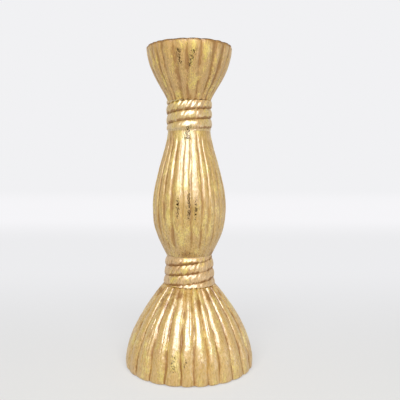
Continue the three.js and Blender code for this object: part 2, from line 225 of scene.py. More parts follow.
def deselect_everything() -> None:
    """Leaves no object selected and nothing in edit mode."""
    if bpy.context.object and bpy.context.object.mode != "OBJECT":
        bpy.ops.object.mode_set(mode="OBJECT")
    bpy.ops.object.select_all(action="DESELECT")


def pick(piece: bpy.types.Object) -> None:
    """Makes one piece the only selected and active object.

    Args:
        piece: The object to pick.
    """
    deselect_everything()
    piece.select_set(True)
    bpy.context.view_layer.objects.active = piece


@contextmanager
def edit_mode(piece: bpy.types.Object) -> Iterator[None]:
    """Opens one piece in edit mode with all of it selected, and closes it again.

    Args:
        piece: The mesh object to work on.

    Returns:
        What a with statement takes; the edits happen inside its block.
    """
    pick(piece)
    bpy.ops.object.mode_set(mode="EDIT")
    bpy.ops.mesh.select_mode(type="VERT")
    bpy.ops.mesh.select_all(action="SELECT")
    yield
    bpy.ops.object.mode_set(mode="OBJECT")


def weld(piece: bpy.types.Object) -> None:
    """Merges a piece's doubled points and turns its faces outwards.

    Args:
        piece: The mesh object to weld.
    """
    with edit_mode(piece):
        bpy.ops.mesh.remove_doubles(threshold=WELD_DISTANCE)
        bpy.ops.mesh.normals_make_consistent(inside=False)


def smooth(piece: bpy.types.Object, angle: float) -> None:
    """Shades a piece smooth across edges that bend less than an angle in degrees."""
    pick(piece)
    bpy.ops.object.shade_smooth_by_angle(angle=math.radians(angle))


def draw_chain(name: str, points: Sequence[Vector]) -> bpy.types.Object:
    """Draws a chain of edges by extruding one point from place to place.

    Args:
        name: The new object's name.
        points: The places in order; a closed chain repeats its first place at the end.

    Returns:
        The new object, with its origin at the frame's origin.
    """
    deselect_everything()
    bpy.ops.mesh.primitive_plane_add(size=0.01)
    piece = bpy.context.object
    piece.name = name
    with edit_mode(piece):
        bpy.ops.mesh.merge(type="CENTER")
        bpy.ops.transform.translate(value=points[0])
        for here, there in zip(points, points[1:]):
            bpy.ops.mesh.extrude_vertices_move(TRANSFORM_OT_translate={"value": there - here})
    return piece


def screw(piece: bpy.types.Object, steps: int, rise: float = 0.0, turns: int = 1) -> None:
    """Turns a drawn section about the stick's axis, anticlockwise from above.

    Args:
        piece: The section, which becomes the turned piece.
        steps: Steps in a full turn.
        rise: The climb in one turn, in metres.
        turns: How many full turns to take.
    """
    pick(piece)
    bpy.ops.object.modifier_add(type="SCREW")
    modifier = piece.modifiers[-1]
    modifier.angle = FULL_TURN
    modifier.screw_offset = rise
    modifier.iterations = turns
    modifier.steps = modifier.render_steps = steps
    bpy.ops.object.modifier_apply(modifier=modifier.name)
    weld(piece)


def bezier(start: Point, leaving: Point, arriving: Point, end: Point, steps: int) -> list[Point]:
    """Follows a cubic curve from one point to another.

    Args:
        start: The first point.
        leaving: The handle that the curve leaves towards.
        arriving: The handle that the curve arrives from.
        end: The last point.
        steps: How many equal steps of the parameter to take.

    Returns:
        The points along the curve, both ends included.
    """
    found = []
    for step in range(steps + 1):
        t = step / steps
        weights = ((1 - t) ** 3, 3 * t * (1 - t) ** 2, 3 * t * t * (1 - t), t**3)
        corners = (start, leaving, arriving, end)
        found.append(tuple(sum(w * c[axis] for w, c in zip(weights, corners)) for axis in (0, 1)))
    return found


def arc(centre: Point, reach: Point, start: float, end: float, steps: int) -> list[Point]:
    """Follows an upright ellipse's arc.

    Args:
        centre: The middle of the ellipse.
        reach: Its half width and half height.
        start: The first angle in degrees, from outwards towards up.
        end: The last angle in degrees.
        steps: How many equal steps to take.

    Returns:
        The points along the arc, both ends included.
    """
    angles = [math.radians(start + (end - start) * step / steps) for step in range(steps + 1)]
    return [(centre[0] + reach[0] * math.cos(a), centre[1] + reach[1] * math.sin(a)) for a in angles]


def places(piece: bpy.types.Object) -> np.ndarray:
    """Reads where a piece's points lie.

    Args:
        piece: The mesh object to read.

    Returns:
        One row of X, Y and Z for each point.
    """
    flat = np.empty(len(piece.data.vertices) * 3, dtype=np.float32)
    piece.data.vertices.foreach_get("co", flat)
    return flat.reshape(-1, 3).astype(np.float64)


def set_places(piece: bpy.types.Object, spots: np.ndarray) -> None:
    """Moves a piece's points to the given rows of X, Y and Z."""
    piece.data.vertices.foreach_set("co", spots.astype(np.float32).ravel())
    piece.data.update()


def bearings_of(spots: np.ndarray) -> np.ndarray:
    """Gives the bearing of each point in degrees."""
    return np.degrees(np.arctan2(spots[:, 1], spots[:, 0])) + 90


def set_weights(piece: bpy.types.Object, layer: Layer, values: Sequence[float]) -> None:
    """Paints a vertex group.

    Args:
        piece: The mesh object to paint.
        layer: The vertex group, which is made if it isn't there.
        values: One weight for each point.
    """
    group = piece.vertex_groups.get(layer.value) or piece.vertex_groups.new(name=layer.value)
    for index, value in enumerate(values):
        group.add([index], float(value), "REPLACE")


def get_weights(piece: bpy.types.Object, layer: Layer) -> np.ndarray:
    """Reads a vertex group.

    Args:
        piece: The mesh object to read.
        layer: The vertex group.

    Returns:
        The weight at each point, 0 where the group doesn't reach.
    """
    index = piece.vertex_groups[layer.value].index
    found = np.zeros(len(piece.data.vertices))
    for vertex in piece.data.vertices:
        for entry in vertex.groups:
            if entry.group == index:
                found[vertex.index] = entry.weight
    return found


def set_attribute(piece: bpy.types.Object, layer: Layer, values: np.ndarray) -> None:
    """Stores one number for each point, for the piece's material to read."""
    attribute = piece.data.attributes.new(layer.value, "FLOAT", "POINT")
    attribute.data.foreach_set("value", np.ascontiguousarray(values, dtype=np.float32))


def clouds(name: str, size: float, coloured: bool = False) -> bpy.types.Texture:
    """Makes a soft noise for displacement.

    Args:
        name: The texture's name.
        size: The width of its lumps in metres.
        coloured: Whether its three channels differ, for a push in any direction.

    Returns:
        The texture.
    """
    texture = bpy.data.textures.new(name, type="CLOUDS")
    texture.noise_scale = size
    texture.noise_depth = 2
    texture.cloud_type = "COLOR" if coloured else "GRAYSCALE"
    return texture


def displace(
    piece: bpy.types.Object,
    strength: float,
    layer: Layer,
    texture: bpy.types.Texture | None = None,
    direction: Push = Push.NORMAL,
) -> None:
    """Pushes a piece's points along their normals, or by a texture's colours, and applies the result.

    Args:
        piece: The mesh object to push.
        strength: The push in metres where the layer's weight is 1.
        layer: The vertex group that weighs the push.
        texture: Noise around its middle value, or nothing for an even push.
        direction: Along the normals, or by the colours of a coloured texture.
    """
    pick(piece)
    bpy.ops.object.modifier_add(type="DISPLACE")
    modifier = piece.modifiers[-1]
    modifier.direction = direction.value
    modifier.strength = strength
    modifier.vertex_group = layer.value
    modifier.mid_level = 0.5 if texture else 0.0
    modifier.texture = texture
    modifier.texture_coords = "LOCAL"
    bpy.ops.object.modifier_apply(modifier=modifier.name)


def soft_step(low: float, high: float, values: np.ndarray) -> np.ndarray:
    """Rises smoothly from 0 at low to 1 at high."""
    t = np.clip((values - low) / (high - low), 0, 1)
    return t * t * (3 - 2 * t)


def longest_run(inside: np.ndarray) -> tuple[np.ndarray, np.ndarray]:
    """Finds the longest unbroken run of marked points round a ring.

    Args:
        inside: Which of the ring's points are marked, at least one of them and not all.

    Returns:
        The places of the run's points, and of all others in the order that follows it round the ring.
    """
    count = len(inside)
    best = np.array([], dtype=int)
    for start in np.flatnonzero(inside & ~np.roll(inside, 1)):
        onward = (start + np.arange(count)) % count
        run = onward[: np.argmin(inside[onward])]
        if len(run) > len(best):
            best = run
    others = (best[-1] + 1 + np.arange(count - len(best))) % count
    return best, others


def fleck_density(
    clusters: Sequence[FleckCluster], strays: float, bearing: np.ndarray, level: np.ndarray
) -> np.ndarray:
    """Says how thick the dark flecks lie at each point.

    Args:
        clusters: The places where flecks lie close.
        strays: The density everywhere else.
        bearing: The points' bearings in degrees.
        level: The points' heights.

    Returns:
        The density at each point.
    """
    run_out = 0.2
    density = np.full(len(bearing), strays)
    turned = (bearing + 180) % 360 - 180
    for cluster in clusters:
        along = (level - cluster.low) / (cluster.high - cluster.low)
        middle = cluster.low_bearing + (cluster.high_bearing - cluster.low_bearing) * along
        ends = soft_step(-run_out, run_out, along) * soft_step(1 + run_out, 1 - run_out, along)
        sides = np.exp(-(((turned - middle) / cluster.spread) ** 2))
        density = np.maximum(density, cluster.thickness * ends * sides)
    return density


# Node graphs


class Graph:
    """A node tree that is filled one node at a time."""

    def __init__(self, tree: bpy.types.NodeTree) -> None:
        """Starts with an empty tree."""
        self.tree = tree
        tree.nodes.clear()

    def add(
        self, kind: str, inputs: dict[str | int, Feed] | None = None, **settings: object
    ) -> bpy.types.Node:
        """Adds a node.

        Args:
            kind: The node's type name.
            inputs: Values or sockets for its inputs, by name or number.
            settings: Values for its own properties.

        Returns:
            The new node.
        """
        node = self.tree.nodes.new(kind)
        for key, value in settings.items():
            setattr(node, key, value)
        for key, value in (inputs or {}).items():
            socket = node.inputs[key]
            if isinstance(value, Socket):
                self.tree.links.new(value, socket)
            elif isinstance(value, tuple) and len(value) == 3 and socket.type == "RGBA":
                socket.default_value = (*value, 1.0)
            else:
                socket.default_value = value
        return node

    def object_place(self) -> Socket:
        """Gives the place on the object, in metres."""
        return self.add("ShaderNodeTexCoord").outputs["Object"]

    def attribute(self, layer: Layer) -> Socket:
        """Gives what a piece stored at its points."""
        return self.add("ShaderNodeAttribute", attribute_name=layer.value).outputs["Fac"]

    def split(self, vector: Feed) -> bpy.types.NodeOutputs:
        """Gives a vector's X, Y and Z."""
        return self.add("ShaderNodeSeparateXYZ", {0: vector}).outputs

    def math(self, operation: Maths, first: Feed, second: Feed = 0.0, third: Feed = 0.0) -> Socket:
        """Works out one operation on numbers or sockets."""
        inputs = {0: first, 1: second, 2: third}
        return self.add("ShaderNodeMath", inputs, operation=operation.value).outputs[0]

    def chain(self, operation: Maths, *terms: Feed) -> Socket:
        """Joins several numbers or sockets by one operation, from the first to the last."""
        return reduce(lambda so_far, term: self.math(operation, so_far, term), terms)

    def weigh(self, *pairs: tuple[Socket, float]) -> Socket:
        """Adds up sockets, each of them times its weight."""
        weighed = (self.math(Maths.MULTIPLY, socket, weight) for socket, weight in pairs)
        return self.chain(Maths.ADD, *weighed)

    def grain(self, vector: Feed, grain: Grain, unit: Socket | None = None) -> Socket:
        """Adds a noise and gives its value.

        Args:
            vector: The coordinates that it reads.
            grain: The pattern.
            unit: A socket that the pattern's scale is counted in, or nothing for a plain scale.

        Returns:
            The noise's value.
        """
        inputs = {"Vector": vector, "Location": grain.shift, "Scale": grain.stretch}
        stretched = self.add("ShaderNodeMapping", inputs).outputs[0]
        scale = grain.scale if unit is None else self.math(Maths.MULTIPLY, unit, grain.scale)
        inputs = {"Vector": stretched, "Scale": scale, "Detail": grain.detail, "Roughness": grain.rough}
        return self.add("ShaderNodeTexNoise", inputs).outputs[0]

    def ramp(self, value: Feed, low: Feed, high: Feed, bottom: float = 0.0, top: float = 1.0) -> Socket:
        """Maps a value smoothly from one range to another and holds it there."""
        inputs = {"Value": value, "From Min": low, "From Max": high, "To Min": bottom, "To Max": top}
        return self.add("ShaderNodeMapRange", inputs, interpolation_type="SMOOTHSTEP").outputs[0]

    def rise(self, value: Feed, level: Socket, width: float) -> Socket:
        """Rises smoothly from 0 at a level to 1 where the value is a width above it."""
        return self.ramp(value, level, self.math(Maths.ADD, level, width))

    def mix(self, factor: Feed, first: Feed, second: Feed) -> Socket:
        """Mixes two colours."""
        return self.add("ShaderNodeMix", {0: factor, 6: first, 7: second}, data_type="RGBA").outputs[2]

    def tint(self, colour: Socket, tone: Socket) -> Socket:
        """Makes a colour darker or lighter.

        Args:
            colour: The colour.
            tone: The factor for each of its channels.

        Returns:
            The toned colour.
        """
        grey = self.add("ShaderNodeCombineColor", {0: tone, 1: tone, 2: tone}).outputs[0]
        inputs = {0: 1.0, 6: colour, 7: grey}
        return self.add("ShaderNodeMix", inputs, data_type="RGBA", blend_type="MULTIPLY").outputs[2]


class Effect:
    """A shader node group that several finishes share: built once, and placed in each with its own values.

    Attributes:
        name: The group's name.
        inputs: The names and kinds of its inputs.
        outputs: The names and kinds of its outputs.
        tree: The built group.
    """

    name: str
    inputs: dict[str, Kind]
    outputs: dict[str, Kind]
    tree: bpy.types.NodeTree

    @classmethod
    def build(cls) -> None:
        """Makes the group, with what it draws joined to its outputs."""
        cls.tree = bpy.data.node_groups.new(cls.name, "ShaderNodeTree")
        for label, kind in cls.inputs.items():
            cls.tree.interface.new_socket(label, in_out="INPUT", socket_type=kind.value)
        for label, kind in cls.outputs.items():
            cls.tree.interface.new_socket(label, in_out="OUTPUT", socket_type=kind.value)
        graph = Graph(cls.tree)
        given = graph.add("NodeGroupInput").outputs
        graph.add("NodeGroupOutput", cls.draw(graph, given))

    @classmethod
    def draw(cls, graph: Graph, given: bpy.types.NodeOutputs) -> dict[str, Socket]:
        """Fills the group in the effect's own way and gives a socket for each output."""
        raise NotImplementedError

    @classmethod
    def place(cls, graph: Graph, inputs: dict[str, Feed]) -> bpy.types.NodeOutputs:
        """Places the built group in a material's graph and gives its outputs."""
        return graph.add("ShaderNodeGroup", inputs, node_tree=cls.tree).outputs


class LeafTones(Effect):
    """The tones of aged gold leaf: a ground, brighter leaf patches, rubbed places, fine streaks and grit.

    Each of its curves holds the ends of the range that it reads and its results there. heights weighs the
    mottle, the streaks, the leaf and the grit in the relief.
    """

    name = "leaf tones"
    inputs = {
        "Vector": Kind.VECTOR,
        "Ground": Kind.COLOUR,
        "Leaf": Kind.COLOUR,
        "Rubbed": Kind.COLOUR,
        "Patch Scale": Kind.VALUE,
        "Leaf Level": Kind.VALUE,
        "Rub Level": Kind.VALUE,
    }
    outputs = {"Color": Kind.COLOUR, "Roughness": Kind.VALUE, "Height": Kind.VALUE, "Gloss": Kind.VALUE}
    patches = Grain((1.0, 1.0, 0.4), 1.0, 3.0, 0.55)
    mottle = Grain((1.0, 1.0, 0.4), 9.0, 4.0, 0.65)
    rubbing = Grain((1.0, 1.0, 0.55), 1.0, 5.0, 0.6, (3.1, 1.7, 0.4))
    streaks = Grain((1.0, 1.0, 0.06), 1300.0, 4.0, 0.65)
    grit = Grain((1.0, 1.0, 0.3), 1000.0, 2.0, 0.6)
    raggedness = 0.6
    leaf_edge = 0.08
    rub_edge = 0.12
    rub_strength = 0.8
    mottle_tone = (0.25, 0.75, 0.8, 1.02)
    streak_tone = (0.36, 0.64, -0.1, 0.1)
    dark_grit = (0.33, 0.42, -0.2, 0.0)
    light_grit = (0.57, 0.69, 0.0, 0.12)
    brightest = 1.06
    streak_roughness = (0.3, 0.7, 0.5, 0.58)
    mottle_roughness = (0.3, 0.75, -0.04, 0.08)
    rubbed_roughness = 0.06
    leaf_roughness = -0.05
    grit_gloss = (0.36, 0.56, 0.6, 1.0)
    streak_gloss = (0.34, 0.56, 0.6, 1.0)
    heights = (0.6, 0.35, 0.12, 0.5)

    @classmethod
    def draw(cls, graph: Graph, given: bpy.types.NodeOutputs) -> dict[str, Socket]:
        """Lays leaf and rubbing over the ground and works streaks and grit into tone, relief and gloss.

        Args:
            graph: The group's graph.
            given: The group's inputs.

        Returns:
            A socket for each output.
        """
        vector, unit = given["Vector"], given["Patch Scale"]
        mottle = graph.grain(vector, cls.mottle, unit)
        streaks = graph.grain(vector, cls.streaks)
        grit = graph.grain(vector, cls.grit)
        patches = graph.grain(vector, cls.patches, unit)
        ragged = graph.math(Maths.MULTIPLY_ADD, mottle, cls.raggedness, patches)
        leaf = graph.rise(ragged, given["Leaf Level"], cls.leaf_edge)
        rubbed = graph.rise(graph.grain(vector, cls.rubbing, unit), given["Rub Level"], cls.rub_edge)
        colour = graph.mix(leaf, given["Ground"], given["Leaf"])
        colour = graph.mix(graph.math(Maths.MULTIPLY, rubbed, cls.rub_strength), colour, given["Rubbed"])
        tone = graph.chain(
            Maths.ADD,
            graph.ramp(mottle, *cls.mottle_tone),
            graph.ramp(streaks, *cls.streak_tone),
            graph.ramp(grit, *cls.dark_grit),
            graph.ramp(grit, *cls.light_grit),
        )
        tone = graph.math(Maths.MINIMUM, tone, cls.brightest)
        rough = graph.chain(
            Maths.ADD,
            graph.ramp(streaks, *cls.streak_roughness),
            graph.ramp(mottle, *cls.mottle_roughness),
            graph.math(Maths.MULTIPLY, rubbed, cls.rubbed_roughness),
            graph.math(Maths.MULTIPLY, leaf, cls.leaf_roughness),
        )
        gloss = (graph.ramp(grit, *cls.grit_gloss), graph.ramp(streaks, *cls.streak_gloss))
        return {
            "Color": graph.tint(colour, tone),
            "Roughness": rough,
            "Height": graph.weigh(*zip((mottle, streaks, leaf, grit), cls.heights)),
            "Gloss": graph.math(Maths.MULTIPLY, *gloss),
        }


class GrooveGlazeAndShade(Effect):
    """The brown glaze that settles in hollows and thins out unevenly towards the crowns.

    It also lays the painted shade that some pieces store with their hollows.
    """

    name = "groove glaze and shade"
    inputs = {
        "Vector": Kind.VECTOR,
        "Color": Kind.COLOUR,
        "Glaze": Kind.COLOUR,
        "Hollow And Shade": Kind.VALUE,
        "Level": Kind.VALUE,
        "Strength": Kind.VALUE,
    }
    outputs = {"Color": Kind.COLOUR, "Mask": Kind.VALUE}
    runs = Grain((1.0, 1.0, 0.2), 170.0, 5.0, 0.65)
    unevenness = (0.3, 0.7, -0.5, 0.38)
    edge = 0.6

    @classmethod
    def draw(cls, graph: Graph, given: bpy.types.NodeOutputs) -> dict[str, Socket]:
        """Lays the glaze and the painted shade where the hollow, made uneven, passes the level.

        Args:
            graph: The group's graph.
            given: The group's inputs.

        Returns:
            A socket for each output.
        """
        uneven = graph.ramp(graph.grain(given["Vector"], cls.runs), *cls.unevenness)
        settled = graph.rise(graph.math(Maths.ADD, given["Hollow And Shade"], uneven), given["Level"], cls.edge)
        mask = graph.math(Maths.MULTIPLY, settled, given["Strength"])
        return {"Color": graph.mix(mask, given["Color"], given["Glaze"]), "Mask": mask}


class DarkFlecks(Effect):
    """Small dark flecks where the leaf has flaked, thick in clusters and sparse elsewhere."""

    name = "dark flecks"
    inputs = {"Vector": Kind.VECTOR, "Density": Kind.VALUE, "Scale": Kind.VALUE}
    outputs = {"Mask": Kind.VALUE}
    specks = Grain((1.0, 1.0, 0.45), 1.0, 3.0, 0.7)
    sparse_level = 0.78
    level_drop = -0.35
    edge = 0.05

    @classmethod
    def draw(cls, graph: Graph, given: bpy.types.NodeOutputs) -> dict[str, Socket]:
        """Keeps the peaks of a noise, more of them where the density is high.

        Args:
            graph: The group's graph.
            given: The group's inputs.

        Returns:
            A socket for each output.
        """
        specks = graph.grain(given["Vector"], cls.specks, given["Scale"])
        level = graph.math(Maths.MULTIPLY_ADD, given["Density"], cls.level_drop, cls.sparse_level)
        return {"Mask": graph.rise(specks, level, cls.edge)}


class MetalWear(Effect):
    """The handling marks of plain metal: soft stains and fine scratches round the axis."""

    name = "metal wear"
    inputs = {
        "Vector": Kind.VECTOR,
        "Clean": Kind.COLOUR,
        "Stained": Kind.COLOUR,
        "Scale": Kind.VALUE,
        "Stain Level": Kind.VALUE,
    }
    outputs = {"Color": Kind.COLOUR, "Roughness": Kind.VALUE, "Height": Kind.VALUE}
    stains = Grain((1.0, 1.0, 1.0), 1.0, 5.0, 0.6)
    scratches = Grain((1.0, 1.0, 1.0), 2600.0, 2.0, 0.7)
    stain_edge = 0.25
    scratch_roughness = (0.3, 0.7, 0.2, 0.34)
    stain_roughness = 0.22

    @classmethod
    def draw(cls, graph: Graph, given: bpy.types.NodeOutputs) -> dict[str, Socket]:
        """Stains the metal and draws scratches by radius and height alone, so that they run round.

        Args:
            graph: The group's graph.
            given: The group's inputs.

        Returns:
            A socket for each output.
        """
        stain = graph.grain(given["Vector"], cls.stains, given["Scale"])
        stained = graph.rise(stain, given["Stain Level"], cls.stain_edge)
        x, y, z = graph.split(given["Vector"])
        squared = graph.math(Maths.ADD, graph.math(Maths.MULTIPLY, x, x), graph.math(Maths.MULTIPLY, y, y))
        ring = graph.add("ShaderNodeCombineXYZ", {0: graph.math(Maths.SQRT, squared), 2: z}).outputs[0]
        scratches = graph.grain(ring, cls.scratches)
        rough = graph.ramp(scratches, *cls.scratch_roughness)
        return {
            "Color": graph.mix(stained, given["Clean"], given["Stained"]),
            "Roughness": graph.math(Maths.MULTIPLY_ADD, stained, cls.stain_roughness, rough),
            "Height": scratches,
        }


class FibreFuzz(Effect):
    """The short matted fibres of felt and board."""

    name = "fibre fuzz"
    inputs = {"Vector": Kind.VECTOR, "Dark": Kind.COLOUR, "Light": Kind.COLOUR, "Scale": Kind.VALUE}
    outputs = {"Color": Kind.COLOUR, "Height": Kind.VALUE}
    lays = (
        Grain((1.0, 0.18, 1.0), 1.0, 4.0, 0.7),
        Grain((0.18, 1.0, 1.0), 1.0, 4.0, 0.7),
        Grain((1.0, 1.0, 0.3), 1.0, 4.0, 0.7),
    )
    lit = (0.42, 0.78)

    @classmethod
    def draw(cls, graph: Graph, given: bpy.types.NodeOutputs) -> dict[str, Socket]:
        """Crosses fibres that lie in three directions.

        Args:
            graph: The group's graph.
            given: The group's inputs.

        Returns:
            A socket for each output.
        """
        strands = [graph.grain(given["Vector"], lay, given["Scale"]) for lay in cls.lays]
        fibres = graph.chain(Maths.MAXIMUM, *strands)
        colour = graph.mix(graph.ramp(fibres, *cls.lit), given["Dark"], given["Light"])
        return {"Color": colour, "Height": fibres}


def new_material(name: str) -> tuple[bpy.types.Material, Graph]:
    """Starts a node material.

    Args:
        name: The material's name.

    Returns:
        The material and its empty graph.
    """
    material = bpy.data.materials.new(name)
    material.use_nodes = True
    return material, Graph(material.node_tree)


def finish_surface(graph: Graph, inputs: dict[str, Feed], height: Socket, depth: float) -> None:
    """Ends a material in one Principled shader.

    Args:
        graph: The material's graph.
        inputs: Values or sockets for the shader.
        height: The socket of the surface's fine relief.
        depth: The height of that relief in metres.
    """
    bump = graph.add("ShaderNodeBump", {"Height": height, "Distance": depth, "Strength": 1.0})
    shader = graph.add("ShaderNodeBsdfPrincipled", {**inputs, "Normal": bump.outputs[0]})
    graph.add("ShaderNodeOutputMaterial", {"Surface": shader.outputs[0]})


# Finishes


@dataclass(frozen=True)
class Gilding:
    """Gold leaf over a warm ground, rubbed in places, glazed in the hollows and flecked where it flaked.

    Under its varnish the leaf is part metal. A fleck takes away the varnish and most of the metal, and the
    glaze takes away most of the varnish. The glaze also lays painted shade where a piece stores shade with
    its hollows.
    """

    name: str
    ground: Colour = (0.71, 0.435, 0.10)
    leaf: Colour = (0.87, 0.64, 0.13)
    rubbed: Colour = (0.71, 0.42, 0.13)
    glaze: Colour = (0.33, 0.145, 0.035)
    soot: Colour = (0.05, 0.022, 0.006)
    patch_scale: float = 105.0
    leaf_level: float = 0.83
    rub_level: float = 0.54
    glaze_level: float = 0.3
    glaze_strength: float = 0.85
    glaze_roughness: float = 0.12
    glaze_dulling: float = 0.8
    fleck_scale: float = 1250.0
    fleck_roughness: float = 0.3
    fleck_depth: float = 0.3
    fleck_dulling: float = 0.8
    bump: float = 0.00035
    metal: float = 0.42
    varnish: float = 1.0
    varnish_index: float = 2.55
    varnish_roughness: float = 0.31
    edge_tint: Colour = (0.85, 0.55, 0.3)

    def material(self) -> bpy.types.Material:
        """Builds the node material.

        Returns:
            The material.
        """
        material, graph = new_material(self.name)
        vector = graph.object_place()
        hollow = graph.attribute(Layer.HOLLOW)
        density = graph.attribute(Layer.FLECKS)
        leaf = LeafTones.place(
            graph,
            {
                "Vector": vector,
                "Ground": self.ground,
                "Leaf": self.leaf,
                "Rubbed": self.rubbed,
                "Patch Scale": self.patch_scale,
                "Leaf Level": self.leaf_level,
                "Rub Level": self.rub_level,
            },
        )
        # Glaze in the hollows, also laying the painted shade that the pieces store there.
        glaze = GrooveGlazeAndShade.place(
            graph,
            {
                "Vector": vector,
                "Color": leaf["Color"],
                "Glaze": self.glaze,
                "Hollow And Shade": hollow,
                "Level": self.glaze_level,
                "Strength": self.glaze_strength,
            },
        )
        inputs = {"Vector": vector, "Density": density, "Scale": self.fleck_scale}
        flecks = DarkFlecks.place(graph, inputs)["Mask"]
        glazed = graph.math(Maths.MULTIPLY_ADD, glaze["Mask"], self.glaze_roughness, leaf["Roughness"])
        dulled = graph.math(Maths.MULTIPLY, glaze["Mask"], self.glaze_dulling)
        bare = graph.math(Maths.MAXIMUM, flecks, dulled)
        coated = graph.math(Maths.MULTIPLY_ADD, bare, -self.varnish, self.varnish)
        lost_metal = -self.fleck_dulling * self.metal
        surface = {
            "Base Color": graph.mix(flecks, glaze["Color"], self.soot),
            "Metallic": graph.math(Maths.MULTIPLY_ADD, flecks, lost_metal, self.metal),
            "Roughness": graph.math(Maths.MULTIPLY_ADD, flecks, self.fleck_roughness, glazed),
            "Specular Tint": self.edge_tint,
            "Coat Weight": graph.math(Maths.MULTIPLY, coated, leaf["Gloss"]),
            "Coat Roughness": self.varnish_roughness,
            "Coat IOR": self.varnish_index,
        }
        height = graph.math(Maths.MULTIPLY_ADD, flecks, -self.fleck_depth, leaf["Height"])
        finish_surface(graph, surface, height, self.bump)
        return material


@dataclass(frozen=True)
class PlainMetal:
    """Bare or plated metal with stains and scratches, and a screw thread where it has a thread pitch."""

    name: str
    clean: Colour
    stained: Colour
    scale: float
    stain_level: float = 0.5
    bump: float = 0.00003
    thread_pitch: float = 0.0

    def material(self) -> bpy.types.Material:
        """Builds the node material.

        Returns:
            The material.
        """
        material, graph = new_material(self.name)
        vector = graph.object_place()
        wear = MetalWear.place(
            graph,
            {
                "Vector": vector,
                "Clean": self.clean,
                "Stained": self.stained,
                "Scale": self.scale,
                "Stain Level": self.stain_level,
            },
        )
        height, depth = wear["Height"], self.bump
        if self.thread_pitch:
            height, depth = self.thread(graph, vector), self.thread_pitch / 2
        surface = {"Base Color": wear["Color"], "Metallic": 1.0, "Roughness": wear["Roughness"]}
        finish_surface(graph, surface, height, depth)
        return material

    def thread(self, graph: Graph, vector: Socket) -> Socket:
        """Draws a right-handed thread that climbs one pitch a turn.

        Args:
            graph: The material's graph.
            vector: The place on the object.

        Returns:
            The thread's height, from 0 to 0.5.
        """
        x, y, z = graph.split(vector)
        turn = graph.math(Maths.DIVIDE, graph.math(Maths.ARCTAN2, y, x), FULL_TURN)
        climb = graph.math(Maths.SUBTRACT, graph.math(Maths.DIVIDE, z, self.thread_pitch), turn)
        return graph.math(Maths.PINGPONG, climb, 0.5)


@dataclass(frozen=True)
class Fibrous:
    """Felt or board made of matted fibres."""

    name: str
    dark: Colour
    light: Colour
    scale: float
    bump: float
    roughness: float
    sheen: float = 0.0

    def material(self) -> bpy.types.Material:
        """Builds the node material.

        Returns:
            The material.
        """
        material, graph = new_material(self.name)
        inputs = {
            "Vector": graph.object_place(),
            "Dark": self.dark,
            "Light": self.light,
            "Scale": self.scale,
        }
        fuzz = FibreFuzz.place(graph, inputs)
        surface = {"Base Color": fuzz["Color"], "Roughness": self.roughness, "Sheen Weight": self.sheen}
        finish_surface(graph, surface, fuzz["Height"], self.bump)
        return material


@dataclass(frozen=True)
class CastGround:
    """Ungilded casting under the rope, with its red-brown ground."""

    name: str = "bare casting"
    dark: Colour = (0.12, 0.045, 0.025)
    light: Colour = (0.24, 0.10, 0.055)
    mottle: Grain = Grain((1.0, 1.0, 1.0), 240.0, 5.0, 0.65)
    mottle_range: Span = (0.3, 0.7)
    roughness: Span = (0.75, 0.55)
    bump: float = 0.0002

    def material(self) -> bpy.types.Material:
        """Builds the node material.

        Returns:
            The material.
        """
        material, graph = new_material(self.name)
        mottle = graph.grain(graph.object_place(), self.mottle)
        surface = {
            "Base Color": graph.mix(graph.ramp(mottle, *self.mottle_range), self.dark, self.light),
            "Roughness": graph.ramp(mottle, *self.mottle_range, *self.roughness),
        }
        finish_surface(graph, surface, mottle, self.bump)
        return material


# Gilded castings


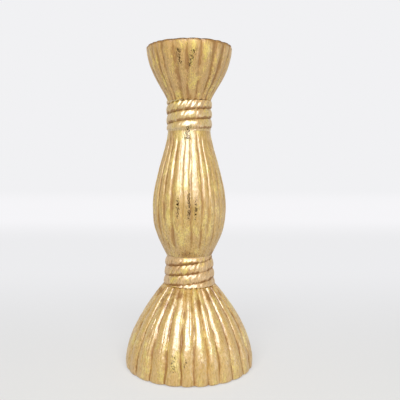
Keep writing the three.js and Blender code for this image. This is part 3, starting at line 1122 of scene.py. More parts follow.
@dataclass(frozen=True)
class Flutes:
    """The ribs round a casting and the grooves between them, irregular as hand carving is.

    Attributes:
        front: The bearings of the grooves that show at the front; those behind follow at nearly even steps.
        depth: The depth of the deepest groove.
        floor: The share of a rib's width that the widest groove's flat floor takes.
        crown: The share of the depth by which a rib's round back falls.
        sharpness: The least and greatest power by which the rest falls into a groove.
        columns: How many upright rows of points carry the shape.
        shares: The least and greatest share of the depth that a groove has.
        floor_shares: The least and greatest share of the floor's width that a groove has.
        leans: How far a rib's crown may lie aside, as a share of its width.
        wander: How many degrees a groove behind strays from its even place.
        wander_rate: Radians of that straying from one groove to the next.
        lines: How many fine lines are scored along the ribs.
        line_width: The half width of the widest line in degrees.
        line_depth: The depth of the deepest line as a share of the grooves' depth.
        line_widths: The least and greatest share of that width.
        line_strengths: The least and greatest share of that depth.
        line_starts: Where a line may start, as a share of the casting's height.
        line_lengths: How long a line may be, as a share of that height.
    """

    front: tuple[float, ...]
    ribs: int
    depth: float
    floor: float
    crown: float
    sharpness: Span
    columns: int
    seed: int
    shares: Span = (0.5, 1.0)
    floor_shares: Span = (0.1, 0.9)
    leans: Span = (-0.35, 0.35)
    wander: float = 1.6
    wander_rate: float = 2.4
    lines: int = 90
    line_width: float = 1.2
    line_depth: float = 0.22
    line_widths: Span = (0.5, 1.0)
    line_strengths: Span = (0.3, 1.0)
    line_starts: Span = (-0.3, 0.9)
    line_lengths: Span = (0.2, 0.6)

    def bearings(self) -> list[float]:
        """Lists the grooves once round the casting.

        Returns:
            Their bearings in degrees, rising from the first one at the front.
        """
        first, last = self.front[0], self.front[-1]
        hidden = self.ribs - len(self.front)
        step = (360 - (last - first)) / (hidden + 1)
        found = list(self.front)
        for place in range(1, hidden + 1):
            found.append(last + step * place + self.wander * math.sin(self.wander_rate * place))
        return found

    def cut(self, bearing: np.ndarray) -> tuple[np.ndarray, np.ndarray]:
        """Says how far down the surface lies at each bearing.

        Args:
            bearing: Bearings in degrees.

        Returns:
            The fall, 0 on a rib's crown to 1 on the deepest groove's floor, and the groove's part of it.
        """
        chance = random.Random(self.seed)
        starts = np.array(self.bearings())
        widths = np.diff(np.append(starts, starts[0] + 360))
        floors = np.array([self.floor * chance.uniform(*self.floor_shares) for _ in starts])
        depths = np.array([chance.uniform(*self.shares) for _ in starts])
        sharpness = np.array([chance.uniform(*self.sharpness) for _ in starts])
        leans = np.array([chance.uniform(*self.leans) for _ in starts])
        place = (bearing - starts[0]) % 360 + starts[0]
        rib = np.clip(np.searchsorted(starts, place, side="right") - 1, 0, self.ribs - 1)
        after = (rib + 1) % self.ribs
        across = (place - starts[rib]) / widths[rib]
        crown = np.clip((across - floors[rib]) / (1 - floors[rib] - floors[after]), 0, 1)
        crown = crown + leans[rib] * crown * (1 - crown)
        aside = np.abs(2 * crown - 1)
        groove = aside ** sharpness[rib]
        depth = depths[rib] * (1 - across) + depths[after] * across
        return depth * (self.crown * aside**2 + (1 - self.crown) * groove), groove * depth

    def scores(self, bearing: np.ndarray, level: np.ndarray) -> np.ndarray:
        """Says how deep the fine lines that are scored along the ribs lie at each point.

        Args:
            bearing: Bearings in degrees.
            level: The points' heights.

        Returns:
            The depth, 0 beside the lines to 1 in the deepest.
        """
        chance = random.Random(self.seed + 1)
        run_out = 0.2
        low, height = level.min(), np.ptp(level)
        depth = np.zeros(len(bearing))
        for _ in range(self.lines):
            away = (bearing - chance.uniform(-180, 180) + 180) % 360 - 180
            start = height * chance.uniform(*self.line_starts)
            along = (level - low - start) / (height * chance.uniform(*self.line_lengths))
            strength = chance.uniform(*self.line_strengths)
            ends = strength * soft_step(0.0, run_out, along) * soft_step(1.0, 1 - run_out, along)
            width = self.line_width * chance.uniform(*self.line_widths)
            depth = np.maximum(depth, ends * np.exp(-((away / width) ** 2)))
        return depth


@dataclass
class FlutedCasting:
    """A turned casting with fluted walls, as the foot, the stem and the cup share it.

    Attributes:
        socket: The radius of the socket for a spool's spigot.
        socket_depth: How deep that socket is.
        wander: How far the wall bulges and dents, over lumps of wander_size.
        taper: The power by which the flutes grow shallower where the casting is slimmer.
        stray: How many degrees the carved lines waver.
        slow_wave: The height over which the slow part of that runs through one radian.
        quick_wave: The height over which its quick part does.
        slow_share: The slow part's share.
        slow_swing: Radians by which the slow part's phase swings 2 and 5 times on the way round.
        quick_swing: Radians by which the quick part's phase swings 3 and 7 times.
        tooling: How rough the tools left the wall, over marks of tooling_size.
        stray_flecks: The density of the flecks outside the clusters.
        score_glaze: The share of the glaze that the scored lines hold.
        shallow_glaze: The share of the glaze that stays where the flutes are shallow.
        deep_enough: The share of the full relief at which the glaze starts to grow, and where it is full.
        plain_hollow: The glaze on faces without flutes.
    """

    name: str
    node: str
    flutes: Flutes
    finish: Gilding
    rod_hole: float = 0.0043
    socket: float = 0.0103
    socket_depth: float = 0.0083
    wander: float = 0.0011
    wander_size: float = 0.022
    taper: float = 0.7
    stray: float = 0.9
    slow_wave: float = 0.012
    quick_wave: float = 0.0038
    slow_share: float = 0.7
    slow_swing: Span = (2.1, 1.3)
    quick_swing: Span = (3.0, 1.9)
    tooling: float = 0.0003
    tooling_size: float = 0.0035
    shades: tuple[Shade, ...] = ()
    clusters: tuple[FleckCluster, ...] = ()
    stray_flecks: float = 0.33
    score_glaze: float = 0.75
    shallow_glaze: float = 0.3
    deep_enough: Span = (0.1, 0.5)
    plain_hollow: float = 0.35
    smooth_angle: float = 50.0

    def outline(self) -> list[Ring]:
        """Lists the rings of the closed outline, from the lower outer edge up the wall and back inside."""
        raise NotImplementedError

    def wall(self, points: Sequence[Point], full_radius: float) -> list[Ring]:
        """Gives wall points flutes that grow shallower as the radius shrinks."""
        return [Ring(radius, level, (radius / full_radius) ** self.taper) for radius, level in points]

    def build(self) -> bpy.types.Object:
        """Turns the outline, carves the flutes and dresses the casting.

        Returns:
            The finished piece.
        """
        rings = self.outline()
        piece = draw_chain(self.name, [Vector((0, ring.radius, ring.level)) for ring in (*rings, rings[0])])
        set_weights(piece, Layer.RELIEF, self.chain_relief(piece, rings))
        screw(piece, self.flutes.columns)
        self.carve(piece)
        smooth(piece, self.smooth_angle)
        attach(piece, Body.STICK.value)
        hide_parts(self.node)
        piece.data.materials.append(self.finish.material())
        return piece

    def chain_relief(self, piece: bpy.types.Object, rings: Sequence[Ring]) -> list[float]:
        """Finds the relief of each point of the drawn chain from the ring that it lies on.

        Args:
            piece: The drawn chain.
            rings: The outline's rings.

        Returns:
            One relief for each of the chain's points.
        """
        found = []
        for vertex in piece.data.vertices:
            radius = math.hypot(vertex.co.x, vertex.co.y)
            level = vertex.co.z
            nearest = min(rings, key=lambda ring: math.hypot(ring.radius - radius, ring.level - level))
            found.append(nearest.relief)
        return found

    def carve(self, piece: bpy.types.Object) -> None:
        """Sinks the grooves, roughens the wall, and keeps hollows, shade bands and flecks for the finish.

        Args:
            piece: The turned casting.
        """
        spots = places(piece)
        level = spots[:, 2]
        bearing = bearings_of(spots)
        relief = get_weights(piece, Layer.RELIEF)
        strayed = bearing + self.wobble(bearing, level)
        cut, groove = self.flutes.cut(strayed)
        scores = self.flutes.scores(strayed, level)
        set_weights(piece, Layer.CUT, relief * np.minimum(cut + self.flutes.line_depth * scores, 1))
        displace(piece, -self.flutes.depth, Layer.CUT)
        lumps = clouds(f"{self.name} wander", self.wander_size, coloured=True)
        displace(piece, self.wander, Layer.RELIEF, lumps, Push.COLOURS)
        displace(piece, self.tooling, Layer.RELIEF, clouds(f"{self.name} tooling", self.tooling_size))
        held = self.shallow_glaze + (1 - self.shallow_glaze) * soft_step(*self.deep_enough, relief)
        hollow = np.maximum(groove, self.score_glaze * scores) * held
        # Shade bands add painted shade, with glaze, beside the rope bindings, and darker lines at some
        # edges.
        for shade in self.shades:
            hollow = np.maximum(hollow, shade.amount * soft_step(shade.start, shade.full, level))
        flecks = fleck_density(self.clusters, self.stray_flecks, bearing, level)
        set_attribute(piece, Layer.HOLLOW, np.where(relief > 0, hollow, self.plain_hollow))
        set_attribute(piece, Layer.FLECKS, np.where(relief > 0, flecks, self.stray_flecks))

    def wobble(self, bearing: np.ndarray, level: np.ndarray) -> np.ndarray:
        """Says how far the carved lines stray at each point.

        The waves climb the wall, and their phases swing on the way round, so that no two ribs stray alike.

        Args:
            bearing: The points' bearings in degrees.
            level: The points' heights.

        Returns:
            The straying in degrees.
        """
        turned = np.radians(bearing)
        slow_phase = self.slow_swing[0] * np.sin(2 * turned) + self.slow_swing[1] * np.sin(5 * turned)
        quick_phase = self.quick_swing[0] * np.cos(3 * turned) + self.quick_swing[1] * np.sin(7 * turned)
        slow = np.sin(level / self.slow_wave + slow_phase)
        quick = np.sin(level / self.quick_wave + quick_phase)
        return self.stray * (self.slow_share * slow + (1 - self.slow_share) * quick)


@dataclass
class FootBell(FlutedCasting):
    """The bell-shaped foot, hollow below, with the rebate that takes the base disc.

    Attributes:
        radius: Its greatest radius, over the crowns.
        edge_top: The level where the rounded lower edge ends.
        edge_draw: How far that edge is drawn in.
        edge_sweep: The share of the draw, and the rise, at the edge's lower handle.
        edge_upright: The upright reach of the edge's upper handle.
        edge_relief: The share of their depth that the flutes keep at the lower edge.
        edge_fade: The level at which they are full.
        fullness: The upright reach of the outline above the edge.
        sweep: The reach of the outline, out and down, from the top.
        hollow_stride: The steps of the outline that one step of the hollow takes.
    """

    radius: float = 0.061
    bottom: float = 0.0008
    edge_top: float = 0.0044
    edge_draw: float = 0.0009
    edge_sweep: Point = (0.3, 0.0004)
    edge_upright: float = 0.0018
    edge_relief: float = 0.4
    edge_fade: float = 0.014
    edge_steps: int = 5
    top: float = LOWER_NECK.bottom
    top_radius: float = 0.0245
    fullness: float = 0.022
    sweep: Point = (0.018, 0.020)
    flank_steps: int = 84
    rebate: float = 0.0543
    rebate_top: float = BOARD_TOP
    hollow_top: float = 0.0617
    hollow_stride: int = 4
    wall_thickness: float = 0.0089

    def outline(self) -> list[Ring]:
        """Lists the rings of the foot's closed outline.

        Returns:
            The rings, up the outer wall and down inside.
        """
        edge = bezier(
            (self.radius - self.edge_draw, self.bottom),
            (self.radius - self.edge_sweep[0] * self.edge_draw, self.bottom + self.edge_sweep[1]),
            (self.radius, self.edge_top - self.edge_upright),
            (self.radius, self.edge_top),
            self.edge_steps,
        )
        flank = bezier(
            (self.radius, self.edge_top),
            (self.radius, self.edge_top + self.fullness),
            (self.top_radius + self.sweep[0], self.top - self.sweep[1]),
            (self.top_radius, self.top),
            self.flank_steps,
        )
        outer = []
        for ring in self.wall([*edge[:-1], *flank], self.radius):
            grown = float(soft_step(self.bottom, self.edge_fade, ring.level))
            share = self.edge_relief + (1 - self.edge_relief) * grown
            outer.append(ring._replace(relief=ring.relief * share))
        inner = [
            Ring(self.socket, self.top),
            Ring(self.socket, self.top - self.socket_depth),
            Ring(self.rod_hole, self.top - self.socket_depth),
            Ring(self.rod_hole, self.hollow_top),
        ]
        hollow = [
            Ring(radius - self.wall_thickness, level)
            for radius, level in reversed(flank[:: self.hollow_stride])
            if self.rebate_top < level < self.hollow_top and radius > self.wall_thickness
        ]
        first = Ring(hollow[0].radius, self.hollow_top)
        last = Ring(hollow[-1].radius, self.rebate_top)
        rebate = [Ring(self.rebate, self.rebate_top), Ring(self.rebate, self.bottom)]
        return [*outer, *inner, first, *hollow, last, *rebate]


@dataclass
class StemBaluster(FlutedCasting):
    """The swelling stem between the two rope bands, whose flutes fade towards both.

    Attributes:
        belly_radius: The belly's radius, over the crowns.
        spread: The reach of the outline, out and up, from the bottom.
        belly_below: The upright reach of the outline below the belly.
        belly_above: The upright reach of the outline above it.
        gather: The reach of the outline, out and down, from the top.
        low_fade: The levels between which the flutes grow above the lower face.
        low_relief: The share of their depth that they keep below that.
        high_fade: The levels between which they grow below the top face.
        high_relief: The share of their depth that they keep above that.
    """

    bottom: float = LOWER_NECK.top
    bottom_radius: float = 0.0217
    top: float = UPPER_NECK.bottom
    top_radius: float = 0.0201
    belly: float = 0.150
    belly_radius: float = 0.0347
    spread: Point = (0.007, 0.014)
    belly_below: float = 0.020
    belly_above: float = 0.028
    gather: Point = (0.0014, 0.017)
    lower_steps: int = 44
    upper_steps: int = 64
    low_fade: Span = (0.108, 0.132)
    low_relief: float = 0.4
    high_fade: Span = (0.219, 0.212)
    high_relief: float = 0.15

    def fade(self, level: float) -> float:
        """Says what share of their depth the flutes keep at a level.

        Args:
            level: The height above the floor.

        Returns:
            The share that is left.
        """
        low = self.low_relief + (1 - self.low_relief) * float(soft_step(*self.low_fade, level))
        high = self.high_relief + (1 - self.high_relief) * float(soft_step(*self.high_fade, level))
        return low * high

    def outline(self) -> list[Ring]:
        """Lists the rings of the stem's closed outline.

        Returns:
            The rings, up the outer wall and down inside.
        """
        belly = (self.belly_radius, self.belly)
        lower = bezier(
            (self.bottom_radius, self.bottom),
            (self.bottom_radius + self.spread[0], self.bottom + self.spread[1]),
            (self.belly_radius, self.belly - self.belly_below),
            belly,
            self.lower_steps,
        )
        upper = bezier(
            belly,
            (self.belly_radius, self.belly + self.belly_above),
            (self.top_radius + self.gather[0], self.top - self.gather[1]),
            (self.top_radius, self.top),
            self.upper_steps,
        )
        outer = [
            ring._replace(relief=ring.relief * self.fade(ring.level))
            for ring in self.wall([*lower, *upper[1:]], self.belly_radius)
        ]
        return [
            *outer,
            Ring(self.socket, self.top),
            Ring(self.socket, self.top - self.socket_depth),
            Ring(self.rod_hole, self.top - self.socket_depth),
            Ring(self.rod_hole, self.bottom + self.socket_depth),
            Ring(self.socket, self.bottom + self.socket_depth),
            Ring(self.socket, self.bottom),
        ]


@dataclass
class CandleCup(FlutedCasting):
    """The flared cup with its bowl, the ledge that the pan's edge rests on and the well for the nut.

    Attributes:
        radius: Its greatest radius, over the crowns, just below the lip.
        spread: The reach of the outline, out and up, from the bottom.
        swell: The reach of the outline, in and down, from the lip.
        lip_round: How far the rounded lip is drawn in, and its height.
        lip_relief: The share of their depth that the flutes keep at the lip.
        lip_fade: The levels between which they fade to it.
        lip_round_fade: The share of that relief that is gone at the end of the lip's round.
        lip_chamfer: The small chamfer of the lip's inner edge.
        well: The radius of the nut's well.
        nut_seat: The level of the well's floor.
    """

    bottom: float = UPPER_NECK.top
    bottom_radius: float = 0.0203
    radius: float = 0.0399
    top: float = 0.300
    spread: Point = (0.0009, 0.0075)
    swell: Point = (0.0014, 0.0237)
    flank_steps: int = 60
    lip_round: Point = (0.0012, 0.0018)
    lip_steps: int = 8
    lip_relief: float = 0.45
    lip_fade: Span = (0.281, 0.2965)
    lip_round_fade: float = 0.5
    lip_chamfer: float = 0.0005
    bowl: Bowl = Bowl()
    well: float = 0.009
    nut_seat: float = 0.2683

    def outline(self) -> list[Ring]:
        """Lists the rings of the cup's closed outline.

        Returns:
            The rings, up the outer wall, over the lip and down inside.
        """
        edge = (self.radius, self.top - self.lip_round[1])
        flank = bezier(
            (self.bottom_radius, self.bottom),
            (self.bottom_radius + self.spread[0], self.bottom + self.spread[1]),
            (edge[0] - self.swell[0], edge[1] - self.swell[1]),
            edge,
            self.flank_steps,
        )
        outer = []
        for ring in self.wall(flank, self.radius):
            faded = (1 - self.lip_relief) * float(soft_step(*self.lip_fade, ring.level))
            outer.append(ring._replace(relief=ring.relief * (1 - faded)))
        lip = arc((edge[0] - self.lip_round[0], edge[1]), self.lip_round, 0, 90, self.lip_steps)[1:]
        brim = []
        for place, (radius, level) in enumerate(lip):
            faded = self.lip_round_fade * place / (len(lip) - 1)
            brim.append(Ring(radius, level, self.lip_relief * (1 - faded)))
        bowl = self.bowl
        return [
            *outer,
            *brim,
            Ring(bowl.bore + self.lip_chamfer, self.top),
            Ring(bowl.bore, self.top - self.lip_chamfer),
            Ring(bowl.bore, bowl.ledge),
            Ring(bowl.mouth, bowl.ledge),
            Ring((bowl.mouth + bowl.floor_radius) / 2, (bowl.ledge + bowl.floor) / 2),
            Ring(bowl.floor_radius, bowl.floor),
            Ring(self.well, bowl.floor),
            Ring(self.well, self.nut_seat),
            Ring(self.rod_hole, self.nut_seat),
            Ring(self.rod_hole, self.bottom + self.socket_depth),
            Ring(self.socket, self.bottom + self.socket_depth),
            Ring(self.socket, self.bottom),
        ]


# Rope bindings


@dataclass
class RopeBinding:
    """One laid rope, flattened and wound in rows round a neck, whose ends run out under the shoulders.

    Attributes:
        neck: The levels of the shoulders below and above it.
        spool_bottom: The spool's radius at the lower shoulder.
        spool_top: The spool's radius at the upper shoulder.
        start: The direction in degrees, from +X towards +Y, in which the winding starts.
        end_radii: The radii that it is pressed to at the shoulders below and above.
        lay_depths: The depth of the lines between the strands, row by row from the lowest.
        press: The heights over which it is pressed there.
        thickness: The rope's thickness, out from the spool.
        seat: The gap to the spool.
        overlap: The rope's height as a share of the pitch.
        spare_turns: The turns that are wound past each end before the rope is trimmed.
        end_gap: The gap to each shoulder.
        tilt: How far the band climbs towards +X, as a slope.
        slant: How far each row stands out at its lower edge, as a slope.
        lay: The length of rope in which a strand goes once round it.
        tooling: How rough the surface is, over marks of tooling_size.
        strand_round: The power that rounds a strand's back; a low one makes the lines narrow.
        full_line: The depth of a line that holds all its glaze.
        line_glaze: The least and greatest glaze in a line.
        lower_glaze_and_shade: Where the glaze under a row, with painted shade on the row's lower half,
            starts and is full, in pitches from the row's middle.
        upper_glaze: Where the glaze above a row starts and is full, in the same way.
        end_fade: The height over which the glaze fades out towards the shoulders.
    """

    name: str
    node: str
    neck: Neck
    spool_bottom: float
    spool_top: float
    start: float
    end_radii: Span
    lay_depths: tuple[float, float, float]
    finish: Gilding
    press: Span = (0.003, 0.005)
    pitch: float = 0.00915
    rows: int = 3
    thickness: float = 0.0050
    seat: float = 0.0003
    overlap: float = 1.14
    spare_turns: int = 1
    end_gap: float = 0.0001
    tilt: float = 0.0
    slant: float = 0.12
    lay: float = 0.0165
    strands: int = 3
    sides: int = 44
    steps: int = 144
    tooling: float = 0.0006
    tooling_size: float = 0.0055
    strand_round: float = 0.8
    full_line: float = 0.0008
    line_glaze: Span = (0.25, 0.8)
    lower_glaze_and_shade: Span = (0.12, 0.45)
    upper_glaze: Span = (0.3, 0.5)
    end_fade: float = 0.003
    clusters: tuple[FleckCluster, ...] = ()
    stray_flecks: float = 0.33
    smooth_angle: float = 60.0

    def middle(self) -> float:
        """Gives the radius of the rope's middle line at the lower shoulder."""
        return self.spool_bottom + self.seat + self.thickness / 2

    def build(self) -> bpy.types.Object:
        """Winds the rope, lays its strands, trims it between the shoulders and dresses it.

        Returns:
            The finished piece.
        """
        piece = self.wind()
        self.twist(piece)
        self.trim(piece)
        smooth(piece, self.smooth_angle)
        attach(piece, Body.STICK.value)
        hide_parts(self.node)
        piece.data.materials.append(self.finish.material())
        return piece

    def wind(self) -> bpy.types.Object:
        """Flattens a circle to the rope's section and screws it up the neck from its start.

        Returns:
            The wound rope, whose points lie ring after ring from its lower end.
        """
        pivot = (0, 0, 0)
        deselect_everything()
        bpy.ops.mesh.primitive_circle_add(vertices=self.sides, radius=self.pitch / 2)
        piece = bpy.context.object
        piece.name = self.name
        flat = (self.thickness / self.pitch, 1, self.overlap)
        level = self.neck.bottom - self.pitch * (self.spare_turns + 0.5)
        with edit_mode(piece):
            bpy.ops.transform.rotate(value=math.pi / 2, orient_axis="X", center_override=pivot)
            bpy.ops.transform.resize(value=flat, center_override=pivot)
            bpy.ops.transform.translate(value=(self.middle(), 0, level))
        screw(piece, self.steps, self.pitch, self.rows + 1 + 2 * self.spare_turns)
        # Without a window the rotate operator turns the other way.
        turn = -math.radians(self.start)
        with edit_mode(piece):
            bpy.ops.transform.rotate(value=turn, orient_axis="Z", center_override=pivot)
        return piece

    def twist(self, piece: bpy.types.Object) -> None:
        """Cuts the strand lines, keeps hollows, painted shade and flecks for the finish and leans the rope.

        Args:
            piece: The wound rope.
        """
        spots = places(piece)
        turns = self.turns_up(spots)
        rise = spots[:, 2] - self.neck.bottom - self.pitch * (turns - 0.5)
        line = self.strand_lines(spots, turns, rise)
        row_middles = np.arange(self.rows) + 1.0
        depth = np.interp(turns, row_middles, self.lay_depths)
        deepest = max(self.lay_depths)
        set_weights(piece, Layer.CUT, np.clip(line * depth / deepest, 0, 1))
        displace(piece, -deepest, Layer.CUT)
        set_weights(piece, Layer.RELIEF, np.ones(len(spots)))
        displace(piece, self.tooling, Layer.RELIEF, clouds(f"{self.name} tooling", self.tooling_size))
        # Glaze in the crevice under each row, and painted shade over the row's lower half, which faces
        # down.
        below = soft_step(*self.lower_glaze_and_shade, -rise / self.pitch)
        above = soft_step(*self.upper_glaze, rise / self.pitch)
        glaze = line * np.clip(depth / self.full_line, *self.line_glaze)
        hollow = np.maximum(np.where(rise < 0, below, above), glaze)
        set_attribute(piece, Layer.HOLLOW, hollow * self.inside(spots[:, 2]))
        flecks = fleck_density(self.clusters, self.stray_flecks, bearings_of(spots), spots[:, 2])
        set_attribute(piece, Layer.FLECKS, flecks)
        self.lean(piece, rise)

    def turns_up(self, spots: np.ndarray) -> np.ndarray:
        """Finds how many turns up the winding each point lies.

        Args:
            spots: The wound rope's points, ring after ring.

        Returns:
            Turns from the lower shoulder, below 0 in the spare turns under it.
        """
        fraction = (np.degrees(np.arctan2(spots[:, 1], spots[:, 0])) - self.start) % 360 / 360
        along = np.arange(len(spots)) // self.sides / self.steps - self.spare_turns
        return fraction + np.round(along - fraction)

    def strand_lines(self, spots: np.ndarray, turns: np.ndarray, rise: np.ndarray) -> np.ndarray:
        """Says how near each point lies to a line between two strands.

        Args:
            spots: The wound rope's points.
            turns: How many turns up the winding they lie.
            rise: How far they lie above the middle of their row.

        Returns:
            1 in a line, falling to 0 on a strand's back.
        """
        outward = (np.hypot(spots[:, 0], spots[:, 1]) - self.middle()) / (self.thickness / 2)
        upward = rise / (self.overlap * self.pitch / 2)
        length = turns * FULL_TURN * self.middle()
        phase = self.strands * (np.arctan2(upward, outward) - FULL_TURN * length / self.lay)
        return 1 - np.abs(np.sin(phase / 2)) ** self.strand_round

    def inside(self, level: np.ndarray) -> np.ndarray:
        """Gives 1 well between the shoulders, falling to 0 at each."""
        away = np.minimum(level - self.neck.bottom, self.neck.top - level)
        return soft_step(0.0, self.end_fade, away)

    def lean(self, piece: bpy.types.Object, rise: np.ndarray) -> None:
        """Leans the rope against its tapered spool, slants its rows, tilts the band and presses its ends.

        Args:
            piece: The rope with its strands cut.
            rise: How far its points lie above the middle of their row.
        """
        taper = (self.spool_top - self.spool_bottom) / (self.neck.top - self.neck.bottom)
        spots = places(piece)
        outward = taper * (spots[:, 2] - self.neck.bottom) - self.slant * rise
        share = 1 + outward / np.hypot(spots[:, 0], spots[:, 1])
        spots[:, :2] *= share[:, None]
        spots[:, 2] += self.tilt * spots[:, 0]
        self.press_ends(spots)
        set_places(piece, spots)

    def press_ends(self, spots: np.ndarray) -> None:
        """Presses the rope down to the castings' edges where it runs in under them.

        Args:
            spots: The rope's points, which are moved in place.
        """
        for level, radius, press in zip(self.neck, self.end_radii, self.press):
            reach = np.hypot(spots[:, 0], spots[:, 1])
            kept = soft_step(0.0, press, np.abs(spots[:, 2] - level))
            pressed = np.where(reach > radius, radius + (reach - radius) * kept, reach)
            spots[:, :2] *= (pressed / reach)[:, None]

    def trim(self, piece: bpy.types.Object) -> None:
        """Ends the rope flush with the shoulders below and above it.

        Args:
            piece: The leaned rope.
        """
        spots = places(piece)
        rings = spots.reshape(-1, self.sides, 3)
        self.flatten(rings, self.neck.bottom + self.end_gap, Side.BELOW)
        self.flatten(rings[::-1], self.neck.top - self.end_gap, Side.ABOVE)
        set_places(piece, spots)
        weld(piece)

    @staticmethod
    def flatten(rings: np.ndarray, level: float, side: Side) -> None:
        """Moves points past a shoulder onto the cut through their ring, and rings wholly past it to a tip.

        Args:
            rings: The rope's points ring by ring from the end that is cut, moved in place.
            level: The height of the cut.
            side: The side of the rope on which the shoulder lies.
        """
        past = side.value * (rings[:, :, 2] - level) > 0
        first = np.flatnonzero(past.all(axis=1)).max() + 1
        for ring, out in zip(rings[first:], past[first:]):
            if out.any():
                kept, moved = longest_run(~out)
                cuts = []
                for inner, outer in ((ring[kept[-1]], ring[moved[0]]), (ring[kept[0]], ring[moved[-1]])):
                    cuts.append(inner + (outer - inner) * (level - inner[2]) / (outer[2] - inner[2]))
                shares = np.linspace(0, 1, len(moved))[:, None]
                ring[moved] = cuts[0] + (cuts[1] - cuts[0]) * shares
        rings[:first] = rings[first][past[first]].mean(axis=0)


# Candle pan


@dataclass
class CandlePan:
    """The spun brass pan that lies in the cup's bowl and hangs by its rolled edge.

    Attributes:
        gap: The running gap to the bowl.
        bend: The inner radius of the bend between its floor and its wall.
        bead: The radius of its rolled edge.
        roll: How many degrees the edge is rolled.
        spun_rings: The spun rings of its floor, as shares of the floor's flat radius.
        under_ring: The one ring underneath, in the same way.
    """

    finish: PlainMetal
    name: str = "brass_pan"
    node: str = "candle_pan"
    bowl: Bowl = Bowl()
    gap: float = 0.0003
    sheet: float = 0.0012
    bend: float = 0.0015
    bend_steps: int = 8
    bead: float = 0.0009
    roll: float = 210.0
    roll_steps: int = 14
    spun_rings: tuple[float, ...] = (0.86, 0.7, 0.52, 0.34, 0.16)
    under_ring: float = 0.5
    steps: int = 144
    smooth_angle: float = 40.0

    def build(self) -> bpy.types.Object:
        """Turns the pan's sheet outline and dresses it.

        Returns:
            The finished piece.
        """
        bottom = self.bowl.floor + self.gap
        floor = bottom + self.sheet
        flat = self.bowl.floor_radius - self.gap - self.bend - self.sheet
        centre = (flat, floor + self.bend)
        outside = self.bend + self.sheet
        rim = self.bowl.mouth - self.gap
        bead_centre = (self.bowl.bore - self.gap - self.bead, self.bowl.ledge + self.bead)
        outline = [
            (0.0, bottom),
            (flat * self.under_ring, bottom),
            *arc(centre, (outside, outside), -90, 0, self.bend_steps),
            (rim, self.bowl.ledge),
            *arc(bead_centre, (self.bead, self.bead), -90, self.roll - 90, self.roll_steps),
            (rim - self.sheet, self.bowl.ledge + self.sheet),
            *arc(centre, (self.bend, self.bend), 0, -90, self.bend_steps),
            *((flat * share, floor) for share in self.spun_rings),
            (0.0, floor),
        ]
        piece = draw_chain(self.name, [Vector((radius, 0, level)) for radius, level in outline])
        screw(piece, self.steps)
        smooth(piece, self.smooth_angle)
        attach(piece, Body.PAN.value)
        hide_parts(self.node)
        piece.data.materials.append(self.finish.material())
        return piece


# Base


@dataclass
class BaseLayer:
    """A round layer under the foot, with softened edges.

    Attributes:
        edge: The width by which its edges are softened.
        sharp: The bend in degrees from which an edge is softened.
    """

    name: str
    node: str
    slot: Slot
    finish: Fibrous
    radius: float
    bottom: float
    top: float
    edge: float
    edge_steps: int = 3
    sharp: float = 60.0
    sides: int = 128
    smooth_angle: float = 40.0

    def build(self) -> bpy.types.Object:
        """Makes the disc, softens its edges and dresses it.

        Returns:
            The finished piece.
        """
        deselect_everything()
        thickness = self.top - self.bottom
        middle = (self.bottom + self.top) / 2
        bpy.ops.mesh.primitive_cylinder_add(vertices=self.sides, radius=self.radius, depth=thickness)
        piece = bpy.context.object
        piece.name = self.name
        with edit_mode(piece):
            bpy.ops.transform.translate(value=(0, 0, middle))
            bpy.ops.mesh.select_all(action="DESELECT")
            bpy.ops.mesh.select_mode(type="EDGE")
            bpy.ops.mesh.edges_select_sharp(sharpness=math.radians(self.sharp))
            bpy.ops.mesh.bevel(offset=self.edge, segments=self.edge_steps, affect="EDGES")
        smooth(piece, self.smooth_angle)
        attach(piece, Body.STICK.value)
        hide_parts(self.node)
        piece.data.materials.append(self.finish.material())
        return piece


# What holds the stick together


@dataclass
class Hardware:
    """The CAD nodes that keep their shapes: spools, rod, nuts and washers."""

    steel: PlainMetal
    threaded: PlainMetal
    casting: CastGround
    steel_nodes: tuple[str, ...] = ("cup_washer", "cup_nut", "clamp_plate", "spring_washer", "foot_nut")
    rod_node: str = "tie_rod"
    spool_nodes: tuple[str, ...] = ("lower_spool", "upper_spool")

    def dress(self) -> list[str]:
        """Gives each node its finish.

        Returns:
            The names of the dressed nodes.
        """
        finishes = dict.fromkeys(self.steel_nodes, self.steel.material())
        finishes[self.rod_node] = self.threaded.material()
        finishes.update(dict.fromkeys(self.spool_nodes, self.casting.material()))
        for name, material in finishes.items():
            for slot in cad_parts[name].material_slots:
                slot.material = material
        return list(finishes)


# Studio


